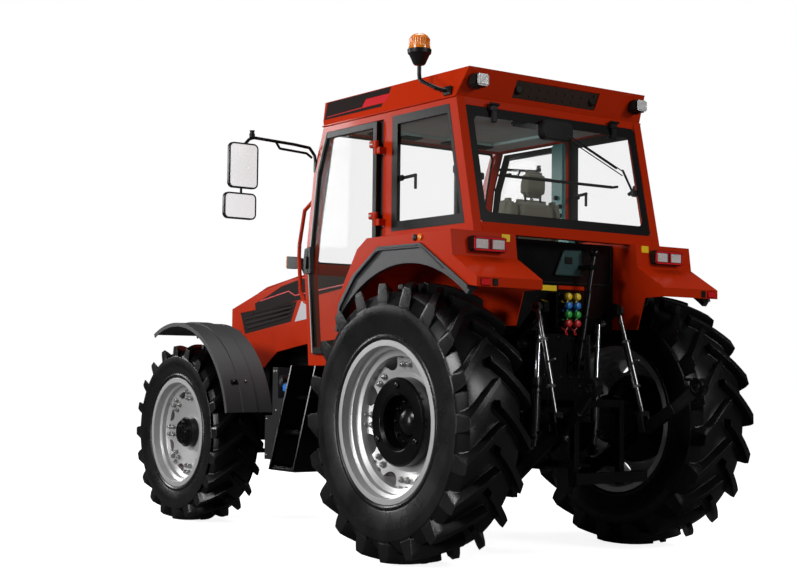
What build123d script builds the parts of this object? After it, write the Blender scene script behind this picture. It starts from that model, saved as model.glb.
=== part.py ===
from build123d import *
import math
import os

os.makedirs("parts", exist_ok=True)

# A four-wheel-drive farm tractor with a cab. Millimetres. While it is modelled, X = 0 is the rear axle, +X is
# forward, +Y is the tractor's left and Z = 0 is the ground; every piece is moved along X at the end, so that the
# origin lies under the middle of the overall length.

# ---- Overall ----
OVERALL_FRONT = 3420.0           # front face of the weights
OVERALL_REAR = -1010.0           # rear of the lower links' hooks
WHEELBASE = 2620.0
CLEAR = 0.3                      # gap between pieces that sit face to face
SHEET = 6.0
SIDES = ((1, "left"), (-1, "right"))

# ---- Wheels ----
REAR_TYRE_R = 789.0
REAR_TYRE_W = 430.0
REAR_RIM_R = 457.0
REAR_TRACK_HALF = 885.0          # Y of the wheel's middle plane
REAR_DISC_T = 20.0               # disc's inner face, outward of the middle plane
REAR_HUB_R = 250.0               # where the hub passes through the disc
FRONT_TYRE_R = 621.5
FRONT_TYRE_W = 380.0
FRONT_RIM_R = 381.0
FRONT_TRACK_HALF = 838.0
FRONT_DISC_T = 35.0
FRONT_HUB_R = 103.0
RIM_FLANGE = 25.0                # flange height over the bead seat
RIM_INSET = 24.0                 # flange's inner face, inward of the tyre's widest point
RIM_WALL = 7.0
DISC_T = 12.0
TYRE_FLATS = 20
LUG_PAIRS = 20
DISC_LOBES = 8

# ---- Front axle ----
KINGPIN_Y = 640.0
AXLE_Z = FRONT_TYRE_R
KNUCKLE_HALF = 117.7             # half height of the swivel housing between the yokes
TRUNNION_R = 45.0
TRUNNION_FRONT = 195.0           # trunnion ends, before and behind the axle
TRUNNION_BACK = 155.0
FRAME_BOTTOM_Z = 790.0
TIE_ROD_X = WHEELBASE - 185.0
STUD_R = 9.0
ARM_TOP_Z = AXLE_Z - 87.0
ARM_T = 26.0

# ---- Driveline ----
ENGINE_REAR_X = 1720.0
ENGINE_FRONT_X = 2420.0
HOUSING_HALF = 200.0
HOUSING_REAR_X = -300.0
LIFT_TOP_Z = 1300.0
AXLE_FLANGE_Y = 640.0
FENDER_IN_Y = 476.0

# ---- Bonnet ----
BONNET_HALF = 330.0
BONNET_TOP_HALF = 245.0          # half width of the top between its chamfers
BONNET_WALL = 8.0
BONNET_REAR_X = 1450.0
BONNET_NOSE_X = 3055.0
BONNET_AXIS = (1462.0, 1782.0)   # X, Z of the hinge pins
BONNET_PIN_R = 5.0

# ---- Cab ----
CAB_HALF = 735.0                 # outer face of the pillars
PILLAR = 60.0
CAB_FLOOR_Z = 1100.0
SEAT_FLOOR_Z = 1240.0            # underside of the raised floor below the seat
WAIST_Z = 1912.0                 # lower edge of the windows
WINDOW_TOP_Z = 2594.0
ROOF_TOP_HALF = 700.0
ROOF_TOP_Z = 2800.0
ROOF_BASE_Z = 2640.0
GLASS_T = 6.0
DOOR_T = 30.0
DOOR_AXIS = (545.0, 779.0)       # X, Y of the door's hinge pins
DOOR_HINGE_Z = (1985.0, 2420.0)
REAR_PANEL_X = -194.0

# ---- Rear fenders ----
FENDER_OUT_Y = 940.0
FENDER_TOP_Z = 1850.0

# ---- Three-point linkage: X, Z of its pins at the height that it is parked at ----
LINK_PIVOT = (-60.0, 400.0)
LINK_PIVOT_Y = 250.0
LINK_BEND = (-803.0, 370.0, 874.5)
LINK_HOOK = (-955.0, 410.0, 1003.5)
LINK_T = 25.0
LINK_TALL = 70.0
ROCKSHAFT = (-180.0, 1230.0)
ROCKSHAFT_R = 45.0
ARM_IN_Y = 267.0
ARM_OUT_Y = 303.0
ARM_END = (-409.0, 1446.0)
ROD_FOOT = (-612.0, 339.0, 752.6)
ROD_R = 14.0
CYLINDER_FOOT = (-290.0, 620.0)
CYLINDER_HEAD = (-330.0, 1372.0)
CYLINDER_Y = 234.0
BARREL_R = 28.0
PISTON_ROD_R = 17.0
LINK_PIN_R = 14.0
SMALL_PIN_R = 12.0
DRAWBAR_HOLE = (-665.0, 490.0)   # X, Z of its middle
DRAWBAR_HOLE_R = 16.0


# ---- Shapes ----

def box(x0, x1, y0, y1, z0, z1):
    """Box between two corners."""
    return Pos((x0 + x1) / 2, (y0 + y1) / 2, (z0 + z1) / 2) * Box(abs(x1 - x0), abs(y1 - y0), abs(z1 - z0))


def slab(side, x0, x1, y0, y1, z0, z1):
    """Box whose Y values are distances from the middle, on one side of the tractor."""
    return box(x0, x1, side * y0, side * y1, z0, z1)


def rod(p, q, radius):
    """Round bar from point p to point q."""
    axis = Vector(*q) - Vector(*p)
    return extrude(Plane(origin=p, z_dir=axis) * Circle(radius), axis.length)


def tube(points, radius):
    """Round bar through several points, with ball corners."""
    bars = [rod(p, q, radius) for p, q in zip(points, points[1:])]
    return fused(*bars, *[Pos(*p) * Sphere(radius) for p in points[1:-1]])


def bar(p, q, wide, tall):
    """Flat bar from p to q, wide along Y."""
    axis = Vector(*q) - Vector(*p)
    across = Vector(0, 1, 0) - axis * (axis.Y / axis.dot(axis))
    return extrude(Plane(origin=p, x_dir=across, z_dir=axis) * Rectangle(wide, tall), axis.length)


def pin(x, y0, y1, z, radius):
    """Round bar along Y."""
    return rod((x, y0, z), (x, y1, z), radius)


def side_plate(points, y0, y1):
    """Plate of the side outline points (X, Z), from y0 to y1."""
    plane = Plane(origin=(0, y1, 0), x_dir=(1, 0, 0), z_dir=(0, -1, 0))
    return extrude(plane * Polygon(*points, align=None), y1 - y0, dir=(0, -1, 0))


def side_face(points, inset=0.0):
    """Side outline (X, Z), drawn in by a distance."""
    return offset(Polygon(*points, align=None), -inset, kind=Kind.INTERSECTION) if inset else Polygon(
        *points, align=None)


def side_body(face, y0, y1):
    """Plate of a side face, from y0 to y1."""
    plane = Plane(origin=(0, y1, 0), x_dir=(1, 0, 0), z_dir=(0, -1, 0))
    return extrude(plane * face, y1 - y0, dir=(0, -1, 0))


def front_plate(points, x0, x1):
    """Plate of the front outline points (Y, Z), from x0 to x1."""
    plane = Plane(origin=(x0, 0, 0), x_dir=(0, 1, 0), z_dir=(1, 0, 0))
    return extrude(plane * Polygon(*points, align=None), x1 - x0, dir=(1, 0, 0))


def turned(points, x, y, z, side):
    """Body turned about a wheel's axle from its outline points (outward distance, radius)."""
    plane = Plane(origin=(0, 0, 0), x_dir=(0, side, 0), z_dir=(side, 0, 0))
    return Pos(x, y, z) * revolve(plane * Polygon(*points, align=None), Axis.Y)


def fused(first, *rest):
    """One solid from pieces that run into each other."""
    for piece in rest:
        first = first + piece
    return first


def twin(shape):
    """A left piece and its right twin, as two solids."""
    return Compound(children=[shape, mirror(shape, Plane.XZ)])


def on_side(shape, side):
    """The left piece, or its right twin."""
    return shape if side > 0 else mirror(shape, Plane.XZ)


# ---- Wheels ----

def lug(side, angle, sections):
    """Tread bar, from sections of (distance from the middle, lag angle, width, top radius, foot radius)."""
    faces = []
    for t, lag, width, top, low in sections:
        turn = math.radians(angle + lag)
        out = Vector(math.cos(turn), 0, math.sin(turn))
        along = Vector(-math.sin(turn), 0, math.cos(turn))
        corners = ((low, -0.64 * width), (top, -0.42 * width), (top, 0.42 * width), (low, 0.64 * width))
        faces.append(Face(Wire.make_polygon([Vector(0, side * t, 0) + out * r + along * a for r, a in corners])))
    return loft(faces, ruled=True)


def tyre(radius, width, rim_r, x, track_half, side):
    """Tyre with flats round it and slanting lugs, open where it sits on its rim."""
    half = width / 2
    bead = half - RIM_INSET - CLEAR
    tread = radius * 0.93
    middle_r = (radius + rim_r) / 2

    def flats(t, r):
        """Polygon round the axle, its flats at a radius."""
        return Plane(origin=(0, t, 0), x_dir=(1, 0, 0), z_dir=(0, 1, 0)) * RegularPolygon(
            r, TYRE_FLATS, major_radius=False)

    outline = ((-bead, rim_r + CLEAR), (-half, middle_r), (55 - half, tread), (half - 55, tread), (half, middle_r),
               (bead, rim_r + CLEAR))
    carcass = loft([flats(t, r) for t, r in outline], ruled=True)
    hollow = loft([flats(t, rim_r - RIM_FLANGE + CLEAR) for t in (-half, half)], ruled=True)
    bar_sections = ((-12, 0, radius * 0.05, radius, tread - 25), (half - 8, 16, radius * 0.08, radius - 16, tread - 60))
    pitch = 360 / LUG_PAIRS
    lugs = [lug(half_side, -90 + (k + offset_share) * pitch, bar_sections)
            for half_side, offset_share in ((1, 0.0), (-1, 0.5)) for k in range(LUG_PAIRS)]
    whole = (carcass - hollow).fuse(*lugs)
    return Pos(x, side * track_half, radius) * whole


def rim(radius, width, rim_r, x, track_half, side, disc_t, hole_r):
    """Steel rim with stepped ledges and a drop centre, and its scalloped dished disc."""
    half = width / 2 - RIM_INSET
    seat = rim_r - RIM_FLANGE
    ledge = seat - 22.0
    well = seat - 55.0
    steps = ((half + RIM_WALL, rim_r), (half, rim_r), (half, seat), (half - 42, seat), (half - 50, ledge),
             (half - 80, ledge), (half - 92, well))
    outer = [(-t, r) for t, r in steps] + [(t, r) for t, r in reversed(steps)]
    inner = [(t, r - RIM_WALL) for t, r in steps[3:]]
    under = ([(half + RIM_WALL, seat - RIM_WALL)] + inner + [(-t, r) for t, r in reversed(inner)]
             + [(-half - RIM_WALL, seat - RIM_WALL)])
    shell = turned(outer + under, x, side * track_half, radius, side)
    edge = well - RIM_WALL + 3
    dish = disc_t + 28
    disc = turned(((disc_t, hole_r), (disc_t + DISC_T, hole_r), (disc_t + DISC_T, hole_r + 30),
                   (dish + DISC_T, edge), (dish, edge), (disc_t, hole_r + 30)), x, side * track_half, radius, side)
    pitch = 360 / DISC_LOBES
    scallops = [Pos(x, side * (track_half + dish), radius) * Rot(0, (k + 0.5) * pitch, 0) *
                Pos(edge + 6, 0, 0) * Rot(90, 0, 0) * Cylinder(edge * 0.17, 120) for k in range(DISC_LOBES)]
    for scallop in scallops:
        disc = disc - scallop
    return fused(shell, disc)


def rear_wheel(side, name):
    z = REAR_TYRE_R
    disc_y = REAR_TRACK_HALF + REAR_DISC_T
    front_y = disc_y + 95
    profile = ((AXLE_FLANGE_Y, 0), (AXLE_FLANGE_Y, 150), (disc_y - 90, 150), (disc_y - 45, REAR_HUB_R + 25),
               (disc_y - CLEAR, REAR_HUB_R + 25), (disc_y - CLEAR, REAR_HUB_R), (front_y - 12, REAR_HUB_R),
               (front_y, REAR_HUB_R - 12), (front_y, 165), (front_y - 14, 149), (disc_y + 5, 149), (disc_y + 5, 0))
    return {
        f"rear_tyre_{name}": tyre(z, REAR_TYRE_W, REAR_RIM_R, 0, REAR_TRACK_HALF, side),
        f"rear_rim_{name}": rim(z, REAR_TYRE_W, REAR_RIM_R, 0, REAR_TRACK_HALF, side, REAR_DISC_T,
                                REAR_HUB_R + CLEAR),
        f"rear_hub_{name}": turned(profile, 0, 0, z, side),
    }


def front_wheel(side, name):
    z = FRONT_TYRE_R
    disc_y = FRONT_TRACK_HALF + FRONT_DISC_T
    front_y = disc_y + 110
    profile = ((KINGPIN_Y + 92, 0), (KINGPIN_Y + 92, 118), (disc_y - 35, 118), (disc_y - 22, FRONT_HUB_R + 48),
               (disc_y - CLEAR, FRONT_HUB_R + 48), (disc_y - CLEAR, FRONT_HUB_R), (front_y - 35, FRONT_HUB_R - 6),
               (front_y - 12, 80), (front_y - 12, 52), (front_y, 44), (front_y, 0))
    return {
        f"front_tyre_{name}": tyre(z, FRONT_TYRE_W, FRONT_RIM_R, WHEELBASE, FRONT_TRACK_HALF, side),
        f"front_rim_{name}": rim(z, FRONT_TYRE_W, FRONT_RIM_R, WHEELBASE, FRONT_TRACK_HALF, side, FRONT_DISC_T,
                                 FRONT_HUB_R + CLEAR),
        f"front_hub_{name}": turned(profile, WHEELBASE, 0, z, side),
    }


# ---- Driveline and chassis ----

SUMP_Z = 690.0
SHAFT_START = (1300.0, 575.0)     # X, Z where the front drive shaft leaves the transfer box
CAB_MOUNT_FRONT = (1080.0, 320.0)
CAB_MOUNT_REAR = (60.0, 400.0)
MOUNT_T = 30.0
MOUNT_R = 45.0


def engine_block():
    block = box(ENGINE_REAR_X, ENGINE_FRONT_X, -200, 200, 760, 1330)
    sump = box(ENGINE_REAR_X + 30, ENGINE_FRONT_X - 40, -150, 150, SUMP_Z, 760)
    return fused(block, sump)


def transmission_housing():
    """Clutch bell, gearbox and rear housing, with the lift housing and the cab's front brackets on it."""
    bell = box(1300, ENGINE_REAR_X - CLEAR, -240, 240, 620, 1080)
    gearbox = box(320, 1300, -190, 190, 560, 1060)
    transfer = box(1130, SHAFT_START[0], -90, 90, 490, 640)
    rear = box(HOUSING_REAR_X, 320, -HOUSING_HALF, HOUSING_HALF, 520, 1170)
    lift = box(HOUSING_REAR_X, -70, -HOUSING_HALF, HOUSING_HALF, 1170, LIFT_TOP_Z)
    bore = pin(ROCKSHAFT[0], -HOUSING_HALF - 1, HOUSING_HALF + 1, ROCKSHAFT[1], ROCKSHAFT_R + CLEAR)
    body = fused(bell, gearbox, transfer, rear, lift) - bore
    for side, _ in SIDES:
        x, y = CAB_MOUNT_FRONT
        top = CAB_FLOOR_Z - MOUNT_T - CLEAR
        cab_bracket = slab(side, x - 60, x + 60, 180, y + 60, top - 50, top - CLEAR)
        body = fused(body, cab_bracket)
    return body


def rear_axle_housings():
    """Axle trumpets with the cab's rear posts, and the bolted brackets of the lower links and the lift cylinders."""
    pieces = []
    for side, _ in SIDES:
        y_in = HOUSING_HALF + CLEAR
        y_end = AXLE_FLANGE_Y - CLEAR
        trumpet = turned(((y_in, 0), (y_in, 210), (330, 190), (420, 120), (600, 105), (y_end - 15, 130),
                          (y_end, 130), (y_end, 0)), 0, 0, REAR_TYRE_R, side)
        x, y = CAB_MOUNT_REAR
        post = slab(side, x - 55, x + 55, y - 55, y + 55, REAR_TYRE_R, SEAT_FLOOR_Z - MOUNT_T - 2 * CLEAR)
        link_bracket = slab(side, -110, -10, y_in, LINK_PIVOT_Y - LINK_T / 2 - CLEAR - 1, 345, 575)
        link_pin = pin(LINK_PIVOT[0], side * 230, side * (LINK_PIVOT_Y + 38), LINK_PIVOT[1], LINK_PIN_R)
        lug_plate = slab(side, -325, -250, y_in, CYLINDER_Y - 16, CYLINDER_FOOT[1] - 32, CYLINDER_FOOT[1] + 32)
        cylinder_pin = pin(CYLINDER_FOOT[0], side * (CYLINDER_Y - 18), side * (CYLINDER_Y + 20), CYLINDER_FOOT[1],
                           SMALL_PIN_R)
        pieces += [fused(trumpet, post), fused(link_bracket, link_pin), fused(lug_plate, cylinder_pin)]
    return Compound(children=pieces)


def cab_mounts():
    """Rubber mounts between the chassis and the cab's floor."""
    places = ((*CAB_MOUNT_FRONT, CAB_FLOOR_Z), (*CAB_MOUNT_REAR, SEAT_FLOOR_Z))
    return Compound(children=[Pos(x, side * y, z - CLEAR - MOUNT_T / 2) * Cylinder(MOUNT_R, MOUNT_T)
                              for x, y, z in places for side, _ in SIDES])


def front_support():
    """Cast frame under the bonnet with the axle's hangers, the radiator and the weights' bracket."""
    frame = box(ENGINE_FRONT_X + CLEAR, 3120, -175, 175, FRAME_BOTTOM_Z, 940)
    radiator = box(2640, 2900, -240, 240, 940, 1480)
    bracket = box(3120, 3180, -240, 240, 700, 900)
    hangers = [box(*sorted((WHEELBASE + way * TRUNNION_BACK, WHEELBASE + way * TRUNNION_FRONT)), -70, 70,
                   AXLE_Z - 72, FRAME_BOTTOM_Z) for way in (-1, 1)]
    bore = rod((WHEELBASE - 400, 0, AXLE_Z), (WHEELBASE + 400, 0, AXLE_Z), TRUNNION_R + CLEAR)
    return fused(frame, radiator, bracket, *hangers) - bore


def front_weights():
    """Row of slab weights with rounded noses, hung on the bracket."""
    pitch, thick, count = 45.0, 40.0, 11
    outline = ((3180 + CLEAR, 560), (3380, 560), (OVERALL_FRONT, 610), (OVERALL_FRONT, 880), (3380, 930),
               (3180 + CLEAR, 930))
    middles = [(k - (count - 1) / 2) * pitch for k in range(count)]
    return Compound(children=[side_plate(outline, y - thick / 2, y + thick / 2) for y in middles])


def front_axle_beam():
    """Beam with its middle bowl, trunnions and the yokes for the swivel housings."""
    beam = box(WHEELBASE - 65, WHEELBASE + 65, -470, 470, AXLE_Z - 65, AXLE_Z + 65)
    bowl = turned(((-150, 0), (-150, 90), (-60, 140), (60, 140), (150, 90), (150, 0)), WHEELBASE, 0, AXLE_Z, 1)
    trunnion = rod((WHEELBASE - TRUNNION_FRONT, 0, AXLE_Z), (WHEELBASE + TRUNNION_FRONT, 0, AXLE_Z), TRUNNION_R)
    yoke_z = KNUCKLE_HALF + CLEAR
    yokes = [slab(side, WHEELBASE - 55, WHEELBASE + 55, 460, KINGPIN_Y + 40, AXLE_Z + way * yoke_z,
                  AXLE_Z + way * (yoke_z + 44)) for side, _ in SIDES for way in (-1, 1)]
    webs = [slab(side, WHEELBASE - 55, WHEELBASE + 55, 430, 480, AXLE_Z - yoke_z - 44, AXLE_Z + yoke_z + 44)
            for side, _ in SIDES]
    return fused(beam, bowl, trunnion, *yokes, *webs)


def steering_knuckle(side):
    """Swivel housing between the beam's yokes, with its spindle housing and steering arm."""
    y = side * KINGPIN_Y
    body = rod((WHEELBASE, y, AXLE_Z - KNUCKLE_HALF), (WHEELBASE, y, AXLE_Z + KNUCKLE_HALF), 70)
    spindle = pin(WHEELBASE, y, y + side * (92 - CLEAR), AXLE_Z, 90)
    arm = box(TIE_ROD_X - 25, WHEELBASE - 40, y - 26, y + 26, ARM_TOP_Z - ARM_T, ARM_TOP_Z)
    hole = rod((TIE_ROD_X, y, ARM_TOP_Z - 60), (TIE_ROD_X, y, ARM_TOP_Z + 20), STUD_R + CLEAR)
    return fused(body, spindle, arm) - hole


def tie_rod():
    """Bar between the steering arms, with a ball stud up through each."""
    z = ARM_TOP_Z - ARM_T - CLEAR - 20
    track_bar = pin(TIE_ROD_X, -KINGPIN_Y, KINGPIN_Y, z, 16)
    ends = [rod((TIE_ROD_X, side * KINGPIN_Y, z - 20), (TIE_ROD_X, side * KINGPIN_Y, z + 20), 24)
            for side, _ in SIDES]
    studs = [rod((TIE_ROD_X, side * KINGPIN_Y, z), (TIE_ROD_X, side * KINGPIN_Y, ARM_TOP_Z + 8), STUD_R)
             for side, _ in SIDES]
    return fused(track_bar, *ends, *studs)


def drive_shaft():
    """Guarded shaft from the transfer box to the front axle."""
    end_x = WHEELBASE - TRUNNION_FRONT - 2
    return tube(((SHAFT_START[0] + CLEAR, 0, SHAFT_START[1]), (1500, 0, SHAFT_START[1]), (end_x, 0, AXLE_Z)), 30)


FRONT_FENDER_R = 765.0
FRONT_FENDER_IN = 680.0
FRONT_FENDER_OUT = 1030.0
FENDER_POST = (WHEELBASE - 165.0, KINGPIN_Y - 30.0)


def arc_band(centre, r_in, r_out, start, end):
    """Face between two arcs about a centre (X, Z), angles in degrees."""
    def at(radius, angle):
        turn = math.radians(angle)
        return (centre[0] + radius * math.cos(turn), centre[1] + radius * math.sin(turn))

    mid = (start + end) / 2
    return make_face([
        ThreePointArc(at(r_in, start), at(r_in, mid), at(r_in, end)), Line(at(r_in, end), at(r_out, end)),
        ThreePointArc(at(r_out, end), at(r_out, mid), at(r_out, start)), Line(at(r_out, start), at(r_in, start))])


def front_fender(side):
    """Arched plastic fender with rolled edges, on the bracket that the swivel housing carries."""
    start, end = 64.0, 168.0
    centre = (WHEELBASE, FRONT_TYRE_R)
    outer = FRONT_FENDER_R + SHEET
    shell = side_body(arc_band(centre, FRONT_FENDER_R, outer, start, end), FRONT_FENDER_IN, FRONT_FENDER_OUT)
    lips = [side_body(arc_band(centre, FRONT_FENDER_R - 22, outer, start, end), y, y + SHEET)
            for y in (FRONT_FENDER_IN, FRONT_FENDER_OUT - SHEET)]
    rib = side_body(arc_band(centre, FRONT_FENDER_R, outer + 8, start, end), FRONT_FENDER_IN + 120,
                    FRONT_FENDER_IN + 230)
    post_x, post_y = FENDER_POST
    top_z = FRONT_TYRE_R + math.sqrt(FRONT_FENDER_R ** 2 - (WHEELBASE - post_x) ** 2)
    foot_z = AXLE_Z + 80
    bracket = tube(((WHEELBASE - 73.6, KINGPIN_Y, foot_z), (post_x, post_y, foot_z),
                    (post_x, post_y, top_z - 40), (post_x, FRONT_FENDER_IN + 60, top_z + 2)), 15)
    return on_side(fused(shell, *lips, rib, bracket), side)


# ---- Bonnet ----

BONNET_LOW_Z = 1085.0
BONNET_SECTIONS = (               # X, top Z, side crease Z
    (BONNET_REAR_X, 1800, 1765),
    (2260, 1742, 1708),
    (2690, 1680, 1625),
    (BONNET_NOSE_X, 1552, 1522),
)
BONNET_HEM = ((BONNET_REAR_X - 1, 1292), (1972, 1255), (2392, 1197), (2559, 1091), (2559, 1000),
              (BONNET_REAR_X - 1, 1000))
SIDE_GRILLE = ((2930, 1490), (2856, 1331), (2210, 1411), (2132, 1554))
NOSE_GRILLE = (190.0, 1130.0, 1390.0)        # half width, lower and upper edge
HEADLAMP = (60.0, 235.0, 1420.0, 1505.0)     # Y from and to, Z from and to


def bonnet_section(x, top, crease, inset):
    half, top_half = BONNET_HALF - inset, BONNET_TOP_HALF - inset
    low = BONNET_LOW_Z - inset
    points = ((-half, low), (-half, crease - inset), (-top_half, top - inset), (top_half, top - inset),
              (half, crease - inset), (half, low))
    return Plane(origin=(x, 0, 0), x_dir=(0, 1, 0), z_dir=(1, 0, 0)) * Polygon(*points, align=None)


def bonnet():
    """Shell in one piece with its nose, cut for the grilles and the headlamps, with its hinge plates."""
    outer = loft([bonnet_section(*section, 0) for section in BONNET_SECTIONS], ruled=True)
    rows = list(BONNET_SECTIONS)
    x, top, crease = rows[-1]
    rows[-1] = (x - BONNET_WALL, top + 3, crease + 3)
    inner = loft([bonnet_section(*section, BONNET_WALL) for section in rows], ruled=True)
    shell = outer - inner - side_plate(BONNET_HEM, -BONNET_HALF - 1, BONNET_HALF + 1)
    shell = shell - side_plate(SIDE_GRILLE, -BONNET_HALF - 1, BONNET_HALF + 1)
    half, low, high = NOSE_GRILLE
    shell = shell - box(BONNET_NOSE_X - 30, BONNET_NOSE_X + 1, -half, half, low, high)
    y0, y1, z0, z1 = HEADLAMP
    for side, _ in SIDES:
        shell = shell - slab(side, BONNET_NOSE_X - 30, BONNET_NOSE_X + 1, y0, y1, z0, z1)
    ax, az = BONNET_AXIS
    hole = pin(ax, -BONNET_HALF + 20, BONNET_HALF - 20, az, BONNET_PIN_R + CLEAR)
    for side, _ in SIDES:
        plate = on_side(side_plate(((ax - 10, az - 10), (ax + 30, az - 10), (ax + 60, az + 12), (ax - 10, az + 12)),
                                   205, 213), side)
        shell = fused(shell, plate)
    return shell - hole


def slatted(frame, hole, slats):
    """Frame with its opening filled by slats."""
    return fused(frame - hole, *slats)


def bonnet_grilles():
    """Black louvred side panels and the slatted nose grille, seated in the bonnet's openings."""
    face = side_face(SIDE_GRILLE, CLEAR)
    y1 = BONNET_HALF - 1
    panel = side_body(face, y1 - SHEET, y1)
    (tr, tr_z), (br, br_z), (bl, bl_z), (tl, tl_z) = SIDE_GRILLE
    for share in (0.24, 0.46, 0.68):
        front_x, front_z = tr + (br - tr) * share, tr_z + (br_z - tr_z) * share
        rear_x, rear_z = tl + (bl - tl) * share, tl_z + (bl_z - tl_z) * share
        slot = ((front_x - 60, front_z + 9), (front_x - 60, front_z - 9), (rear_x + 60, rear_z - 13),
                (rear_x + 60, rear_z + 13))
        panel = panel - side_plate(slot, y1 - 10, y1 + 2)
    half, low, high = NOSE_GRILLE
    x0, x1 = BONNET_NOSE_X - BONNET_WALL, BONNET_NOSE_X
    outer = box(x0, x1, -half + CLEAR, half - CLEAR, low + CLEAR, high - CLEAR)
    hole = box(x0 - 1, x1 + 1, -half + 18, half - 18, low + 18, high - 18)
    slats = [box(x0, x1 - 2, -half + 5, half - 5, z - 5, z + 5) for z in range(1165, 1375, 26)]
    bars = [box(x0, x1 - 2, y - 4, y + 4, low + 5, high - 5) for y in (-60, 60)]
    return Compound(children=[panel, mirror(panel, Plane.XZ), slatted(outer, hole, slats + bars)])


def headlamps():
    y0, y1, z0, z1 = HEADLAMP
    return twin(box(BONNET_NOSE_X - 70, BONNET_NOSE_X + 4, y0 + CLEAR, y1 - CLEAR, z0 + CLEAR, z1 - CLEAR))


def cowl():
    """Firewall box behind the bonnet, with the ears that its hinge pins sit in."""
    x1 = BONNET_REAR_X - CLEAR
    body = side_plate(((1337, CAB_FLOOR_Z), (x1, CAB_FLOOR_Z), (x1, 1768), (1404, 1768), (1401, 1690),
                       (1337, 1690)), -320, 320)
    ax, az = BONNET_AXIS
    for side, _ in SIDES:
        ear = fused(side_plate(((x1 - 30, 1740), (x1, 1740), (ax + 8, az - 4), (ax + 5, az + 7), (ax - 5, az + 7),
                                (x1 - 2, 1768)), 190, 204.7), pin(ax, 190, 225, az, BONNET_PIN_R))
        body = fused(body, on_side(ear, side))
    return body


# ---- Cab ----

FRAME_TOP_Z = ROOF_BASE_Z - CLEAR
RAIL_Z = 2594.7                  # underside of the top rails
A_PILLAR_FRONT = ((1336, CAB_FLOOR_Z), (1400, 1720), (1301, 2366), (1190, FRAME_TOP_Z))
A_PILLAR_REAR = ((1130, FRAME_TOP_Z), (1240, 2340), (1335, 1720), (1270, CAB_FLOOR_Z))
B_PILLAR_X = (440.0, 530.0)
C_PILLAR_REAR = ((-345, FENDER_TOP_Z + CLEAR), (-175, FRAME_TOP_Z))
C_PILLAR_FRONT = ((-270, FENDER_TOP_Z + CLEAR), (-105, FRAME_TOP_Z))
SILL_TOP_Z = 1170.0
DOOR_SHELF = ((401, 1850.6), (501, 1790.6), (701, 1500.6), (737, 1305), (764, 1165), (818, 1165), (812, 1455),
              (712, 1700), (580, 1868), (520, 1895))     # panel between the fender and the door's edge
GRAB_RAIL = ((1318, 2192), (1361, 2173), (1464, 2118), (1521, 1899), (1525, 1811), (1499, 1581), (1448, 1519),
             (1358, 1490))
GRAB_RAIL_R = 13.0
DASH_TOP_Z = 1760.0
ROOF_VENT_Z = (2672.0, 2768.0)
ROOF_VENT_HALF = 330.0


def x_on(line, z):
    """X of a slanted edge, given by its two ends (X, Z), at a height."""
    (x0, z0), (x1, z1) = line
    return x0 + (x1 - x0) * (z - z0) / (z1 - z0)


def cab_side(side):
    """Welded side frame: pillars, sill, waist and top rail, with its grab rail and hinge brackets."""
    low, high = CAB_FLOOR_Z, FRAME_TOP_Z
    fender_top = FENDER_TOP_Z + CLEAR
    b0, b1 = B_PILLAR_X
    outlines = (
        A_PILLAR_FRONT + A_PILLAR_REAR,
        ((b0, fender_top), (b1, fender_top), (b1, high), (b0, high)),
        C_PILLAR_REAR[:1] + C_PILLAR_FRONT + C_PILLAR_REAR[1:],
        ((770, low), (1336, low), (1344, SILL_TOP_Z), (770, SILL_TOP_Z)),
        ((-175, RAIL_Z), (1200, RAIL_Z), (1190, high), (-175, high)),
        ((-345, fender_top), (b1, fender_top), (b1, WAIST_Z), (-332, WAIST_Z)),
        DOOR_SHELF,
    )
    frame = fused(*[side_plate(points, CAB_HALF - PILLAR, CAB_HALF) for points in outlines])
    rail = tube([(x, 700, z) for x, z in GRAB_RAIL], GRAB_RAIL_R)
    ax, ay = DOOR_AXIS
    hinges = []
    for z in DOOR_HINGE_Z:
        hinges.append(box(ax - 45, ax - 5, CAB_HALF - 2, ay + 6, z - 40, z - CLEAR))
        hinges.append(rod((ax, ay, z - 40), (ax, ay, z - CLEAR), 13))
        hinges.append(rod((ax, ay, z - 10), (ax, ay, z + 38), 8))
    return on_side(fused(frame, rail, *hinges), side)


def cab_crossmembers():
    """Bars between the side frames: at the roof, below the rear window, below the screen and at the floor."""
    half = CAB_HALF - PILLAR - CLEAR
    rows = (                     # X from and to, Z from and to
        (1130, 1190, RAIL_Z, FRAME_TOP_Z),
        (-175, -105, RAIL_Z, FRAME_TOP_Z),
        (-345, -285, FENDER_TOP_Z + CLEAR, WAIST_Z),
        (1275, 1336, CAB_FLOOR_Z, SILL_TOP_Z),
        (1325, 1400, 1690, DASH_TOP_Z),
    )
    return Compound(children=[box(x0, x1, -half, half, z0, z1) for x0, x1, z0, z1 in rows])


def roof_rear_x(z):
    return x_on(((-168, ROOF_BASE_Z), (-250, ROOF_TOP_Z)), z)


def cab_roof():
    """Roof that narrows upwards, its rear face leaning out, with a recessed vent in it."""
    def level(x0, x1, half, z):
        return Pos((x0 + x1) / 2, 0, z) * Rectangle(x1 - x0, 2 * half)

    roof = loft([level(-168, 1195, CAB_HALF, ROOF_BASE_Z), level(-186, 1214, CAB_HALF - 8, ROOF_BASE_Z + 35),
                 level(-250, 1233, ROOF_TOP_HALF, ROOF_TOP_Z)], ruled=True)
    roof = roof - box(-60, 1080, -600, 600, ROOF_BASE_Z - 1, ROOF_BASE_Z + 60)
    z0, z1 = ROOF_VENT_Z
    deep = x_on(((roof_rear_x(z0), z0), (roof_rear_x(z1), z1)), z0) + 10
    roof = roof - side_plate(((roof_rear_x(z0) - 20, z0), (deep, z0), (roof_rear_x(z1) + 10, z1),
                              (roof_rear_x(z1) - 20, z1)), -ROOF_VENT_HALF, ROOF_VENT_HALF)
    for y in range(-280, 281, 56):
        roof = roof - box(roof_rear_x(z1) - 5, deep + 12, y - 17, y + 17, z0 + 22, z1 - 22)
    return roof


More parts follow.
